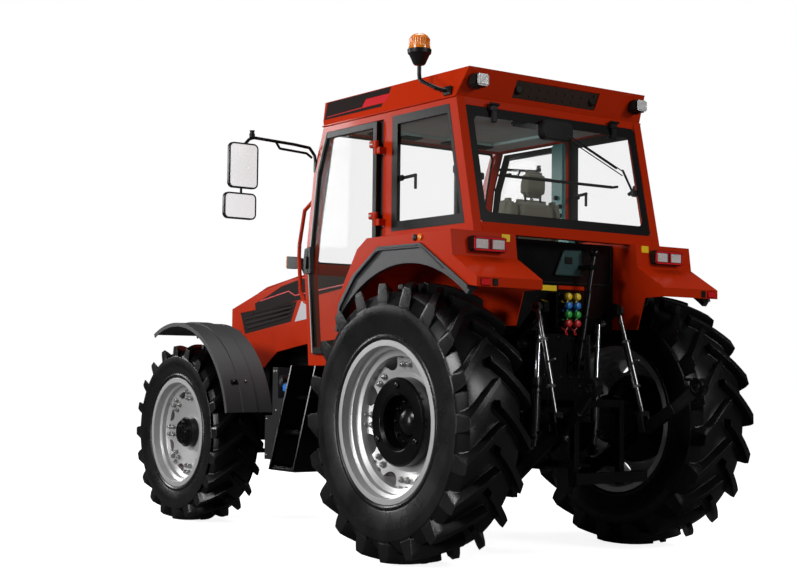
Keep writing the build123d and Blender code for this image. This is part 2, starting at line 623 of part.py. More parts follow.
def headliner():
    """Moulded lining under the roof, with four tapered vents at each end."""
    half = CAB_HALF - PILLAR - CLEAR
    lining = box(-104.7, 1129.7, -half, half, RAIL_Z + 8, FRAME_TOP_Z)
    lining = lining - box(60, 960, -480, 480, RAIL_Z + 7, RAIL_Z + 26)
    for x in (-20, 1010):
        for y in (-420, -180, 180, 420):
            lining = lining - box(x - 24, x + 24, y - 80, y + 80, RAIL_Z + 7, RAIL_Z + 18)
    return lining


def cab_floor():
    """Flat floor, the raised floor under the seat and the rear wall below the window."""
    half = FENDER_IN_Y - CLEAR
    front_half = CAB_HALF - PILLAR - CLEAR
    flat = fused(box(330, 780, -half, half, CAB_FLOOR_Z, CAB_FLOOR_Z + 30),
                 box(780, 1275 - CLEAR, -front_half, front_half, CAB_FLOOR_Z, CAB_FLOOR_Z + 30))
    riser = box(330, 500, -half, half, CAB_FLOOR_Z + 20, SEAT_FLOOR_Z)
    raised = box(-50, 500, -half, half, SEAT_FLOOR_Z, SEAT_FLOOR_Z + 90)
    shelf = box(REAR_PANEL_X - SHEET, -50, -half, half, LIFT_TOP_Z + 18, SEAT_FLOOR_Z + 90)
    rear_wall = box(REAR_PANEL_X - SHEET, REAR_PANEL_X, -half, half, LIFT_TOP_Z + 18, FENDER_TOP_Z)
    return fused(flat, riser, raised, shelf, rear_wall)


STEERING_WHEEL = (900.0, 0.0, 1790.0)
STEERING_TILT = 35.0
WHEEL_RING_R = 195.0
STEM = 130.0


def down_column(distance):
    """Point on the steering axis, below the wheel."""
    x, y, z = STEERING_WHEEL
    tilt = math.radians(STEERING_TILT)
    return (x + distance * math.sin(tilt), y, z - distance * math.cos(tilt))


def dash_console():
    """Column console with its instrument hood and the steering column."""
    body = side_plate(((1130, CAB_FLOOR_Z + 30 + CLEAR), (1262, CAB_FLOOR_Z + 30 + CLEAR), (1300, 1640),
                       (1200, 1680), (1090, 1560)), -200, 200)
    return fused(body, rod(down_column(440), down_column(STEM + CLEAR), 32))


def steering_wheel():
    ring_plane = Plane(origin=(0, 0, 0), x_dir=(1, 0, 0), z_dir=(0, -1, 0))
    ring = revolve(ring_plane * Pos(WHEEL_RING_R, 0) * RegularPolygon(14, 8), Axis.Z)
    boss = Cylinder(45, 30)
    spokes = [Rot(0, 0, a) * (Pos(WHEEL_RING_R / 2, 0, 0) * Box(WHEEL_RING_R - 5, 26, 12)) for a in (90, 210, 330)]
    stem = Pos(0, 0, -STEM / 2) * Cylinder(18, STEM)
    return Pos(*STEERING_WHEEL) * Rot(0, -STEERING_TILT, 0) * fused(boss, ring, stem, *spokes)


def seat():
    """Suspension base, cushion, back and headrest."""
    base = box(100, 400, -150, 150, SEAT_FLOOR_Z + 90 + CLEAR, 1500)
    cushion = fillet(box(20, 500, -250, 250, 1490, 1615).edges().filter_by(Axis.Z), 60)
    back = side_plate(((20, 1590), (140, 1590), (70, 2140), (-40, 2140)), -240, 240)
    head = side_plate(((-42, 2130), (52, 2130), (25, 2330), (-50, 2330)), -120, 120)
    return fused(base, cushion, back, head)


def side_consoles():
    """Boxes beside the seat; the right one has the levers."""
    floor_z = SEAT_FLOOR_Z + 90 + CLEAR
    outline = ((0, floor_z), (560 - 60 - CLEAR, floor_z), (499, 1560), (0, 1500))
    left = side_plate(outline, 330, FENDER_IN_Y - CLEAR)
    right = mirror(left, Plane.XZ)
    levers = []
    for x, y, top in ((120, -400, 1700), (220, -400, 1690), (320, -400, 1700), (420, -360, 1760)):
        levers.append(rod((x, y, 1480), (x + 20, y, top), 7))
        levers.append(Pos(x + 20, y, top) * Sphere(20))
    return Compound(children=[left, fused(right, *levers)])


def consoles():
    return Compound(children=[dash_console(), side_consoles()])


DOOR_LINE = ((560, 1862), (560, 2585), (1135, 2585), (1236, 2340), (1330, 1720), (1270, 1176), (806, 1176),
             (797, 1452), (699, 1695))
DOOR_BORDER = 38.0


def door(side):
    """Slim frame round the glass, with its hinge leaves and the handle."""
    line = Polygon(*DOOR_LINE, align=None)
    ring = line - offset(line, -DOOR_BORDER, kind=Kind.INTERSECTION)
    frame = side_body(ring, CAB_HALF + CLEAR, CAB_HALF + DOOR_T)
    ax, ay = DOOR_AXIS
    for z in DOOR_HINGE_Z:
        leaf = box(ax, ax + 50, CAB_HALF + DOOR_T - 2, ay + 8, z + CLEAR, z + 40)
        knuckle = rod((ax, ay, z + CLEAR), (ax, ay, z + 40), 13)
        frame = fused(frame, leaf, knuckle) - rod((ax, ay, z - 1), (ax, ay, z + 50), 8 + CLEAR)
    handle = side_plate(((1316, 1690), (1326, 1760), (1312, 1850), (1250, 1860), (1240, 1690)),
                        CAB_HALF + DOOR_T - 2, CAB_HALF + DOOR_T + 28)
    return on_side(fused(frame, handle), side)


def door_glass(side):
    pane = offset(Polygon(*DOOR_LINE, align=None), -DOOR_BORDER - CLEAR, kind=Kind.INTERSECTION)
    y0 = CAB_HALF + 12
    return on_side(side_body(pane, y0, y0 + GLASS_T), side)


def cab_glass():
    """Windscreen, quarter windows and rear window."""
    top, waist = RAIL_Z, WAIST_Z
    x_rear = [x_on(C_PILLAR_FRONT, z) for z in (waist, top)]
    quarter_face = side_face(((B_PILLAR_X[0], waist), (B_PILLAR_X[0], top), (x_rear[1], top), (x_rear[0], waist)),
                             CLEAR)
    quarter = side_body(quarter_face, CAB_HALF - 30, CAB_HALF - 30 + GLASS_T)
    half = CAB_HALF - PILLAR - CLEAR
    z0, z1 = DASH_TOP_Z + CLEAR, top - CLEAR
    screen = side_plate(((1362, z0), (1368, z0), (1176, z1), (1170, z1)), -half, half)
    z0 = waist + CLEAR
    x0, x1 = x_on(C_PILLAR_REAR, z0) + 10, x_on(C_PILLAR_REAR, z1) + 10
    rear = side_plate(((x0, z0), (x0 + GLASS_T, z0), (x1 + GLASS_T, z1), (x1, z1)), -half, half)
    return Compound(children=[screen, rear, quarter, mirror(quarter, Plane.XZ)])


ARCH_LINE = ((-555, 1538), (-375, 1645), (-134, 1789), (275, 1792), (531, 1636), (676, 1470), (708, 1305))
ARCH_TRIM_LINE = ((-560, 1515), (-365, 1620), (-127, 1765), (268, 1768), (515, 1615), (656, 1455), (684, 1305))
FENDER_LINE = ((736, 1305), (700, 1500), (500, 1790), (400, FENDER_TOP_Z), (-395, FENDER_TOP_Z), (-414, 1708),
               (-626, 1581), (-626, 1528))


def rear_fenders():
    """Box fenders: the top over the tyre, the lamp's face, the sloped lip and the cab's inner wall."""
    skin = side_plate(FENDER_LINE + ARCH_LINE, FENDER_IN_Y, FENDER_OUT_Y)
    wall = side_plate(FENDER_LINE + ((-473, 1524), (-408, 1334), (-163, 1337), (-100, 1331),
                      (300, 1250), (500, 1130), (763, 1130)), FENDER_IN_Y, FENDER_IN_Y + SHEET)
    return twin(fused(skin, wall))


def arch_trims():
    """Black edging that follows the fender's arch."""
    points = tuple((x, z - CLEAR) for x, z in reversed(ARCH_LINE)) + ARCH_TRIM_LINE
    return twin(side_plate(points, FENDER_OUT_Y - 60, FENDER_OUT_Y + 12))


def mirrors():
    """Tubular arms on the front pillars, each with a large and a small mirror."""
    y_pillar = CAB_HALF + CLEAR
    foot = box(1250, 1280, y_pillar, y_pillar + 22, 2345, 2415)
    arm = tube(((1265, y_pillar + 12, 2380), (1290, y_pillar + 12, 2500), (1300, 1204, 2530), (1300, 1204, 2010)), 11)
    knob = rod((1300, 1204, 2530), (1300, 1204, 2575), 18)
    large = box(1308, 1345, 1150, 1360, 2205, 2492)
    small = box(1308, 1345, 1160, 1390, 2010, 2176)
    return twin(fused(foot, arm, knob, large, small))


def position_lamp():
    """Left tapered lamp beside the bonnet, on a short arm from the front pillar."""
    x_pillar = x_on(A_PILLAR_FRONT[:2], 1665) + 6
    arm = rod((x_pillar, 705, 1665), (1560, 660, 1762), 9)
    body = loft([Plane(origin=(x, 655, z), x_dir=(0, 1, 0), z_dir=(1, 0, 0)) * Rectangle(wide, tall)
                 for x, z, wide, tall in ((1545, 1775, 50, 60), (1640, 1785, 62, 78), (1715, 1790, 62, 84))], ruled=True)
    return fused(body, arm)


BEACON = (90.0, 800.0)


def beacon():
    """Amber dome on a cranked arm from the roof's left side."""
    x, y = BEACON
    foot = box(-135, -65, CAB_HALF - 2, CAB_HALF + 12, 2650, 2700)
    arm = tube(((-100, CAB_HALF + 4, 2675), (-60, y - 10, 2690), (x - 30, y, 2745), (x, y, 2790), (x, y, 2850)), 12)
    cup = Pos(x, y, 2882) * Cone(38, 66, 66)
    base = Pos(x, y, 2932) * Cylinder(72, 36)
    dome = Pos(x, y, 2990) * Cylinder(58, 80)
    dome = fillet(dome.edges().group_by(Axis.Z)[-1], 34)
    return fused(foot, arm, cup, base, dome)


def lamps():
    """Work lamps on the roof's rear face, clusters on the fenders and lamps beside the bonnet."""
    work = side_plate(((-299, 2690), (-299, 2756), (roof_rear_x(2756) - 2 * CLEAR, 2756),
                       (roof_rear_x(2690) - 2 * CLEAR, 2690)), 594, 674)
    face = ((-414, 1708), (-395, FENDER_TOP_Z))
    z0, z1 = 1735, 1815
    cluster = side_plate(((x_on(face, z0) - CLEAR, z0), (x_on(face, z1) - CLEAR, z1), (-455, z1), (-455, z0)), 590, 820)
    return Compound(children=[twin(work), twin(cluster), twin(position_lamp())])


# ---- Steps, tank, exhaust ----

STEP_ROWS = ((690, 895), (785, 670), (880, 440))     # outer Y, top Z of each tread
STEP_REAR_X = 1250.0
STEP_FRONT_X = 1550.0
TANK_OUT_Y = 740.0
BELL_HALF = 240.0
FILLER = (1625.0, 690.0)
TANK_LOW_TOP_Z = 880.0
BOX_TOP_Z = 1085.0


def steps():
    """Three treads between two stringers that slant outward, on each side."""
    stringer = ((540, CAB_FLOOR_Z - CLEAR), (735, CAB_FLOOR_Z - CLEAR), (895, 425), (700, 425))
    sides = [front_plate(stringer, x, x + 12) for x in (STEP_REAR_X, STEP_FRONT_X - 12)]
    treads = [box(STEP_REAR_X, STEP_FRONT_X, y - 170, y, z - 18, z) for y, z in STEP_ROWS]
    return twin(fused(*sides, *treads))


def fuel_tank():
    """Moulded tank ahead of the left steps, its nose below the front fender's path, and its filler cap."""
    rear_x = STEP_FRONT_X + CLEAR
    outline = ((1860, 470), (1740, 470), (1640, 650), (1560, 800), (rear_x, 850), (rear_x, TANK_LOW_TOP_Z),
               (1700, TANK_LOW_TOP_Z), (1705, BOX_TOP_Z), (1768, BOX_TOP_Z), (1768, 762), (1860, 762))
    body = side_plate(outline, BELL_HALF + CLEAR, TANK_OUT_Y)
    neck = rod((*FILLER, TANK_LOW_TOP_Z - 5), (*FILLER, TANK_LOW_TOP_Z + 50), 38)
    cap_z = TANK_LOW_TOP_Z + 50 + CLEAR
    return Compound(children=[fused(body, neck), rod((*FILLER, cap_z), (*FILLER, cap_z + 52), 46)])


def battery_box():
    """Box ahead of the right steps."""
    outline = ((1740, 520), (1640, 650), (STEP_FRONT_X + CLEAR, 800), (STEP_FRONT_X + CLEAR, BOX_TOP_Z),
               (1768, BOX_TOP_Z), (1768, 520))
    return side_plate(outline, -TANK_OUT_Y, -BELL_HALF - CLEAR)


def tank_and_battery_box():
    return Compound(children=[fuel_tank(), battery_box()])


EXHAUST_X = 1480.0
EXHAUST_Y = -600.0


def exhaust():
    """Outlet pipe from the engine's right side, and the upright silencer with its guard and tail."""
    x, y = EXHAUST_X, EXHAUST_Y
    flange = pin(1790, -200 - CLEAR, -214, 1180, 46)
    outlet = rod((1790, -205, 1180), (1790, -330, 1180), 28)
    cross_pipe = rod((1790, -330, 1180), (x, y, 1180), 28)
    riser = rod((x, y, 1150), (x, y, 1330), 30)
    knee = Pos(1790, -330, 1180) * Sphere(34)
    silencer = rod((x, y, 1300), (x, y, 2060), 52)
    tail = rod((x, y, 2040), (x, y, 2740), 30)
    return fused(flange, outlet, cross_pipe, knee, riser, silencer, tail)


# ---- Three-point linkage ----

def lower_links():
    """Flat bars from the front pins to the claw hooks that take an implement's pins."""
    pivot = (LINK_PIVOT[0], LINK_PIVOT_Y, LINK_PIVOT[1])
    eye = pin(pivot[0], LINK_PIVOT_Y - LINK_T / 2, LINK_PIVOT_Y + LINK_T / 2, pivot[2], 38)
    hole = pin(pivot[0], 0, LINK_PIVOT_Y + 60, pivot[2], LINK_PIN_R + CLEAR)
    main = bar(pivot, LINK_BEND, LINK_T, LINK_TALL)
    tail = bar(LINK_BEND, LINK_HOOK, LINK_T, LINK_TALL - 10)
    hx, hy, hz = LINK_HOOK
    claw = pin(hx, hy - 20, hy + 20, hz, 55) - pin(hx, hy - 30, hy + 30, hz, 28)
    mouth = box(hx - 24, hx + 24, hy - 30, hy + 30, hz, hz + 70)
    socket = pin(hx, hy - 30, hy + 30, hz, 28)
    return twin(fused(eye, main, tail, claw) - hole - mouth - socket)


def lift_arms():
    """Rockshaft with its two arms and their end pins."""
    x, z = ROCKSHAFT
    ex, ez = ARM_END
    whole = pin(x, -ARM_OUT_Y, ARM_OUT_Y, z, ROCKSHAFT_R)
    arm = side_plate(((x + 48, z - 40), (x + 48, z + 45), (x - 20, z + 72), (ex + 5, ez + 42), (ex - 40, ez + 30),
                      (ex - 42, ez - 28), (ex + 10, ez - 42)), ARM_IN_Y, ARM_OUT_Y)
    end_pin = pin(ex, ARM_IN_Y, 345, ez, SMALL_PIN_R)
    arm = fused(arm, end_pin)
    return fused(whole, arm, mirror(arm, Plane.XZ))


def lift_rods():
    """Rods that hang the lower links from the lift arms, with a fork over each link."""
    ex, ez = ARM_END
    fx, fy, fz = ROD_FOOT
    eye_y = (ARM_OUT_Y + CLEAR, ARM_OUT_Y + 32)
    top_y = sum(eye_y) / 2
    eye = pin(ex, *eye_y, ez, 30)
    fork_top = (fx + (ex - fx) * 0.13, fy, fz + (ez - fz) * 0.13)
    screw = rod((ex, top_y, ez), fork_top, ROD_R)
    sleeve = rod(*(tuple(a + (b - a) * share for a, b in zip((ex, top_y, ez), fork_top)) for share in (0.3, 0.75)), 22)
    bridge = box(fork_top[0] - 24, fork_top[0] + 24, fy - 32.5, fy + 32.5, fork_top[2] - 14, fork_top[2] + 14)
    plates = [bar((fork_top[0], fy + way * 26.5, fork_top[2]), (fx, fy + way * 26.5, fz - 20), 12, 44)
              for way in (-1, 1)]
    hole = pin(ex, 280, 380, ez, SMALL_PIN_R + CLEAR)
    return twin(fused(eye, screw, sleeve, bridge, *plates) - hole)


def toward(p, q, distance):
    """Point at a distance from p on the way to q."""
    whole = math.dist(p, q)
    return tuple(a + (b - a) * distance / whole for a, b in zip(p, q))


CYLINDER_ENDS = ((CYLINDER_FOOT[0], CYLINDER_Y, CYLINDER_FOOT[1]), (CYLINDER_HEAD[0], CYLINDER_Y, CYLINDER_HEAD[1]))
BARREL_END = 430.0


def cylinder_barrels():
    foot, head = CYLINDER_ENDS
    eye = pin(foot[0], CYLINDER_Y - 15.7, CYLINDER_Y + 15, foot[2], BARREL_R)
    neck = rod(toward(foot, head, 20), toward(foot, head, 80), 15)
    barrel = rod(toward(foot, head, 70), toward(foot, head, BARREL_END), BARREL_R)
    bore = rod(toward(foot, head, 120), toward(foot, head, BARREL_END + 1), PISTON_ROD_R + CLEAR)
    hole = pin(foot[0], 150, 300, foot[2], SMALL_PIN_R + CLEAR)
    return twin(fused(eye, neck, barrel) - bore - hole)


def cylinder_rods():
    foot, head = CYLINDER_ENDS
    piston_rod = rod(toward(foot, head, BARREL_END - 45), toward(foot, head, math.dist(foot, head) - 10),
                     PISTON_ROD_R)
    eye = pin(head[0], CYLINDER_Y - 2, ARM_IN_Y - CLEAR, head[2], 26)
    return twin(fused(piston_rod, eye))


def hitch_frame():
    """Ladder frame behind the rear housing, with the cross bar that has the drawbar's pin hole."""
    posts = [slab(side, -585, -545, 158, 194, 440, 920) for side, _ in SIDES]
    bars = [box(-585, HOUSING_REAR_X - CLEAR, y - 18, y + 18, z - 20, z + 20)
            for y in (-176, 176) for z in (560, 900)]
    foot = box(-600, -545, -194, 194, 470, 510)
    top = box(-585, -545, -194, 194, 880, 920)
    x, z = DRAWBAR_HOLE
    tongue = box(x - 25, -560, -60, 60, z - 20, z + 20)
    cross = box(x - 25, x + 25, -275, 275, z - 30, z + 30)
    hole = rod((x, 0, z - 40), (x, 0, z + 40), DRAWBAR_HOLE_R)
    return fused(*posts, *bars, foot, top, tongue, cross) - hole


TOP_LINK_FOOT = (-345.0, -60.0, 1130.0)
TOP_LINK_HEAD = (-298.0, -228.0, 1790.0)
CLIP_Z = (1690.0, 1712.0)


def top_link():
    """Adjustable upper link, folded up against the cab's rear wall, with its bracket and its clip."""
    foot, head = TOP_LINK_FOOT, TOP_LINK_HEAD
    whole = math.dist(foot, head)
    x, y, z = foot
    hole = pin(x, y - 60, y + 60, z, SMALL_PIN_R + CLEAR)
    link = fused(pin(x, y - 15, y + 15, z, 28), rod(toward(foot, head, 15), toward(foot, head, whole - 10), 15),
                 rod(toward(foot, head, 130), toward(foot, head, 440), 22), Pos(*head) * Sphere(30)) - hole
    face = HOUSING_REAR_X - CLEAR
    plates = [box(x - 30, face, y + way * 22 - 6, y + way * 22 + 6, z - 40, z + 40) for way in (-1, 1)]
    bracket = fused(box(face - 12, face, y - 50, y + 50, z - 60, z + 60), *plates,
                    pin(x, y - 36, y + 36, z, SMALL_PIN_R))
    z0, z1 = CLIP_Z
    cx, cy, _ = toward(foot, head, whole * ((z0 + z1) / 2 - z) / (head[2] - z))
    clip = box(cx - 30, REAR_PANEL_X - SHEET - CLEAR, cy - 35, cy + 35, z0, z1) - rod(foot, head, 15 + CLEAR)
    return Compound(children=[link, bracket, clip])


def pto_shaft():
    """Stub of the power take-off."""
    return rod((HOUSING_REAR_X - CLEAR, 0, 690), (-400, 0, 690), 17.5)


COUPLER_COLUMNS = (-58.0, 12.0)
COUPLER_TOP_Z = 1518.0
COUPLER_PITCH = 52.0


def couplers():
    """Block on the rear wall with two columns of four hydraulic couplers."""
    x = REAR_PANEL_X - SHEET - CLEAR
    block = box(x - 70, x, -95, 50, COUPLER_TOP_Z - 3 * COUPLER_PITCH - 26, COUPLER_TOP_Z + 26)
    sockets = [rod((x - 65, y, COUPLER_TOP_Z - row * COUPLER_PITCH), (x - 125, y, COUPLER_TOP_Z - row * COUPLER_PITCH), 19)
               for y in COUPLER_COLUMNS for row in range(4)]
    return fused(block, *sockets)


# ---- Assembly ----

def build():
    parts = {}
    for side, name in SIDES:
        parts.update(rear_wheel(side, name))
        parts.update(front_wheel(side, name))
        for make in (steering_knuckle, front_fender, door, door_glass, cab_side):
            parts[f"{make.__name__}_{name}"] = make(side)
    for make in (engine_block, transmission_housing, rear_axle_housings, cab_mounts, front_support, front_weights,
                 front_axle_beam, tie_rod, drive_shaft, bonnet, bonnet_grilles, headlamps, cowl, cab_crossmembers,
                 cab_roof, headliner, cab_floor, consoles, steering_wheel, seat, cab_glass, rear_fenders, arch_trims,
                 mirrors, beacon, lamps, steps, tank_and_battery_box, exhaust, lower_links, lift_arms, lift_rods,
                 cylinder_barrels, cylinder_rods, hitch_frame, top_link, pto_shaft, couplers):
        parts[make.__name__] = make()
    return parts


to_middle = Pos(-(OVERALL_FRONT + OVERALL_REAR) / 2, 0, 0)
for node, shape in build().items():
    solids = [to_middle * solid for solid in shape.solids()]
    export_step(solids[0] if len(solids) == 1 else Compound(children=solids), f"parts/{node}.step")
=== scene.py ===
import math
import bmesh
import bpy
from mathutils import Matrix, Vector


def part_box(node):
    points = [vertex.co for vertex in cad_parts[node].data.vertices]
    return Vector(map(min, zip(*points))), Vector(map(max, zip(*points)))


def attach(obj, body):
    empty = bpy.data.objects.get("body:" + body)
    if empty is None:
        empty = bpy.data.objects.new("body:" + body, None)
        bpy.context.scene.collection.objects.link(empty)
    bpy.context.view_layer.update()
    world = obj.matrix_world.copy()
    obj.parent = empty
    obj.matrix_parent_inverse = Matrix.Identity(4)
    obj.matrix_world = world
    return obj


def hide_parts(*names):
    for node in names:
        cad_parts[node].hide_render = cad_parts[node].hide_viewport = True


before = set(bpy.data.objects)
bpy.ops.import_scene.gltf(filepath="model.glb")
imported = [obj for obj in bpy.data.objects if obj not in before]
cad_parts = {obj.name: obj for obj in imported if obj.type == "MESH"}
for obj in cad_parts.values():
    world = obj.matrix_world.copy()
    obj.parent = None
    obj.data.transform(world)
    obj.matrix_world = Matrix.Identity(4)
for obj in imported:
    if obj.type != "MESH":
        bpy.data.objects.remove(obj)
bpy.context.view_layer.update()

# ---- Camera ----
# It stands low behind the tractor's left rear corner, a little tilted, and sees the left side and the linkage.
stand = (-7.7071, 5.7404, 1.0909)
yaw, pitch, roll = math.radians(-36.114), math.radians(3.148), math.radians(0.661)
lens_mm, film_mm = 64.82, 36.0
ahead = Vector((math.cos(yaw) * math.cos(pitch), math.sin(yaw) * math.cos(pitch), math.sin(pitch)))
level = ahead.cross(Vector((0, 0, 1))).normalized()
right = level * math.cos(roll) + level.cross(ahead) * math.sin(roll)
camera = bpy.data.objects.new("camera", bpy.data.cameras.new("camera"))
camera.data.lens, camera.data.sensor_width = lens_mm, film_mm
turned_to = Matrix((right, right.cross(ahead), -ahead)).transposed().to_4x4()
camera.matrix_world = Matrix.Translation(stand) @ turned_to
bpy.context.scene.collection.objects.link(camera)
bpy.context.scene.camera = camera
bpy.context.scene.view_settings.view_transform = "Standard"


# ---- Studio ----
# A pale floor without an edge, soft boxes high on the tractor's left, above it and behind it, and a white room
# round it. The floor takes the tractor's shadow.
room_dim, floor_dim, floor_pale = 0.04, 0.14, 0.8     # how bright things see the room and the floor
glow_near, glow_rise = 0.86, 0.02                     # the floor's own light, and how much more of it each metre off
floor_reach = 60
lamp_aim = Vector((0, 0, 1.2))
soft_boxes = (                                        # place, width and height, watts
    ((-1.5, 8.5, 4.6), (3.2, 1.6), 350), ((0.0, 0.0, 7.5), (3.2, 3.2), 230), ((-8.5, -2.5, 4.5), (1.8, 1.8), 180),
    ((7.0, 4.5, 3.5), (2.0, 2.0), 200), ((1.5, 9.0, 1.5), (1.0, 2.4), 170), ((-9.0, 0.2, 1.6), (0.4, 3.0), 65))


class Value:
    """A number or colour in a node tree. Sums and products of it add Math nodes."""

    def __init__(self, tree, socket=None):
        self.tree, self.socket = tree, socket

    def node(self, kind, settings=None, inputs=None, output=0):
        """Another node of this tree, with its settings made first, and one of its outputs."""
        made = self.tree.nodes.new(kind)
        for name, setting in (settings or {}).items():
            setattr(made, name, setting)
        for name, value in (inputs or {}).items():
            if isinstance(value, Value):
                self.tree.links.new(value.socket, made.inputs[name])
            else:
                made.inputs[name].default_value = value
        return Value(self.tree, made.outputs[output]) if len(made.outputs) else Value(self.tree)

    def maths(self, operation, first, second=0.0):
        """A Math node on two values."""
        return self.node("ShaderNodeMath", {"operation": operation}, {0: first, 1: second})

    def __add__(self, other):
        return self.maths("ADD", self, other)

    def __mul__(self, other):
        return self.maths("MULTIPLY", self, other)

    __radd__, __rmul__ = __add__, __mul__

    def blend(self, low, high):
        """Colour that goes from low to high as this value goes from 0 to 1."""
        colours = [c if isinstance(c, Value) else (*c, 1) for c in (low, high)]
        return self.node("ShaderNodeMix", {"data_type": "RGBA"}, {0: self, 6: colours[0], 7: colours[1]}, 2)


def seen_straight(tree):
    """1 for what the camera and the glass look at, and 0 for the light that falls on things or shines in them."""
    start = Value(tree)
    rays = [start.node("ShaderNodeLightPath", output=f"Is {kind} Ray") for kind in ("Camera", "Transmission")]
    return start.maths("MINIMUM", rays[0] + rays[1], 1.0)


world = bpy.data.worlds.new("room")
world.use_nodes = True
bpy.context.scene.world = world
room = seen_straight(world.node_tree)
backdrop = world.node_tree.nodes["Background"]
backdrop.inputs["Color"].default_value = (1, 1, 1, 1)
world.node_tree.links.new((room_dim + room * (1 - room_dim)).socket, backdrop.inputs["Strength"])

floor_material = bpy.data.materials.new("floor")
floor_material.use_nodes = True
floor_nodes = floor_material.node_tree.nodes
floor_nodes.clear()
pale = seen_straight(floor_material.node_tree)
spot = pale.node("ShaderNodeTexCoord", output="Object")
far = spot.node("ShaderNodeVectorMath", {"operation": "LENGTH"}, {0: spot}, "Value")
matt = pale.node("ShaderNodeBsdfDiffuse", inputs={"Color": pale.blend((floor_dim,) * 3, (floor_pale,) * 3)})
glow = pale.node("ShaderNodeEmission", inputs={
    "Color": (1, 1, 1, 1), "Strength": pale * pale.maths("MINIMUM", glow_near + far * glow_rise, 1.0)})
pale.node("ShaderNodeOutputMaterial", inputs={"Surface": pale.node("ShaderNodeAddShader", inputs={0: matt, 1: glow})})
floor_mesh = bpy.data.meshes.new("floor")
corners = [(x * floor_reach, y * floor_reach, 0) for x, y in ((-1, -1), (1, -1), (1, 1), (-1, 1))]
floor_mesh.from_pydata(corners, [], [(0, 1, 2, 3)])
floor_mesh.materials.append(floor_material)
floor = bpy.data.objects.new("floor", floor_mesh)
bpy.context.scene.collection.objects.link(floor)

for place, size, watts in soft_boxes:
    lamp = bpy.data.objects.new("soft_box", bpy.data.lights.new("soft_box", "AREA"))
    lamp.data.shape, (lamp.data.size, lamp.data.size_y), lamp.data.energy = "RECTANGLE", size, watts
    lamp.location = place
    lamp.rotation_mode = "QUATERNION"
    lamp.rotation_quaternion = (lamp_aim - lamp.location).to_track_quat("-Z", "Y")
    bpy.context.scene.collection.objects.link(lamp)


# ---- Tyres ----
# Radial tractor tyres: a moulded carcass with a bead guard, and two rows of twenty curved bars that meet in turn
# at the middle of the tread. The rubber is black and freshly dressed, so its edges shine.
sides = ((1, "left"), (-1, "right"))
bars_in_row = 20
bar_sweep, bar_curve = math.radians(16.5), 1.15       # how far a bar's shoulder lags behind its middle
bar_overlap, shoulder_inset = 0.012, 0.006            # past the tread's middle, and short of the tyre's side
bar_width, bar_flare = 0.056, 0.040                   # as shares of the tyre's radius
bar_crown, bar_end_drop = 0.0165, 0.050
tread_share, bead_inset = 0.93, 0.0243
tyre_sizes = (("rear", 0.215, 0.457), ("front", 0.190, 0.381))    # half of the width, radius of the rim's seat


def surface(name, colour, roughness, mottle=(3.0, 0.07), grain=(500.0, 0.0001), edge=0.004, uneven=0.08, **plain):
    """Finish of one kind: its colour clouds a little, its gloss is uneven, its skin has a grain and its edges are
    rounded. The other values are the same all over."""
    material = bpy.data.materials.new(name)
    material.use_nodes = True
    tree = material.node_tree
    shader = tree.nodes["Principled BSDF"]
    for socket, value in plain.items():
        shader.inputs[socket.replace("_", " ")].default_value = value
    place = Value(tree).node("ShaderNodeTexCoord", output="Object")
    cloud = place.node("ShaderNodeTexNoise", inputs={"Vector": place, "Scale": mottle[0], "Detail": 4.0}, output="Fac")
    skin = place.node("ShaderNodeTexNoise", inputs={"Vector": place, "Scale": grain[0], "Detail": 3.0}, output="Fac")
    tint = cloud.blend(*(tuple(min(c * share, 1.0) for c in colour) for share in (1 - mottle[1], 1 + mottle[1])))
    inputs = {"Height": skin, "Strength": 1.0, "Distance": grain[1]}
    if edge:
        inputs["Normal"] = place.node("ShaderNodeBevel", {"samples": 4}, {"Radius": edge}, "Normal")
    bump = place.node("ShaderNodeBump", inputs=inputs)
    gloss = cloud * uneven + (roughness - uneven / 2)
    tree.links.new(tint.socket, shader.inputs["Base Color"])
    tree.links.new(gloss.socket, shader.inputs["Roughness"])
    tree.links.new(bump.socket, shader.inputs["Normal"])
    return material


def turned(bm, profile, centre, axis, steps=48, closed=False):
    """Body turned about an axis through centre, from (distance along it, radius) points."""
    axis = Vector(axis).normalized()
    across = axis.orthogonal().normalized()
    third = axis.cross(across)
    rings = []
    for along, radius in profile:
        hub = Vector(centre) + axis * along
        if radius < 1e-6:
            rings.append([bm.verts.new(hub)])
            continue
        angles = [2 * math.pi * k / steps for k in range(steps)]
        rings.append([bm.verts.new(hub + (across * math.cos(a) + third * math.sin(a)) * radius) for a in angles])
    pairs = list(zip(rings, rings[1:])) + ([(rings[-1], rings[0])] if closed else [])
    faces = []
    for low, high in pairs:
        for k in range(steps):
            corners = (low[k % len(low)], low[(k + 1) % len(low)], high[(k + 1) % len(high)], high[k % len(high)])
            corners = list(dict.fromkeys(corners))
            if len(corners) > 2:
                faces.append(bm.faces.new(corners))
    if not closed:
        faces += [bm.faces.new(ring) for ring in (rings[0], rings[-1]) if len(ring) > 1]
    bmesh.ops.recalc_face_normals(bm, faces=faces)
    return faces


def rounded(bm, faces, width):
    """Rounds the sharp edges of faces just made."""
    if width:
        edges = {e for f in faces for e in f.edges if e.calc_face_angle(0) > 0.6}
        bmesh.ops.bevel(bm, geom=list(edges), offset=width, segments=2, affect="EDGES", clamp_overlap=True)


def lofted(bm, rings, width=0.0):
    """Body through rings of corners, each with as many corners as the last, with rounded edges."""
    count = len(rings[0])
    faces = [bm.faces.new(rings[0]), bm.faces.new(rings[-1])]
    for a, b in zip(rings, rings[1:]):
        faces += [bm.faces.new((a[k], a[(k + 1) % count], b[(k + 1) % count], b[k])) for k in range(count)]
    bmesh.ops.recalc_face_normals(bm, faces=faces)
    rounded(bm, faces, width)


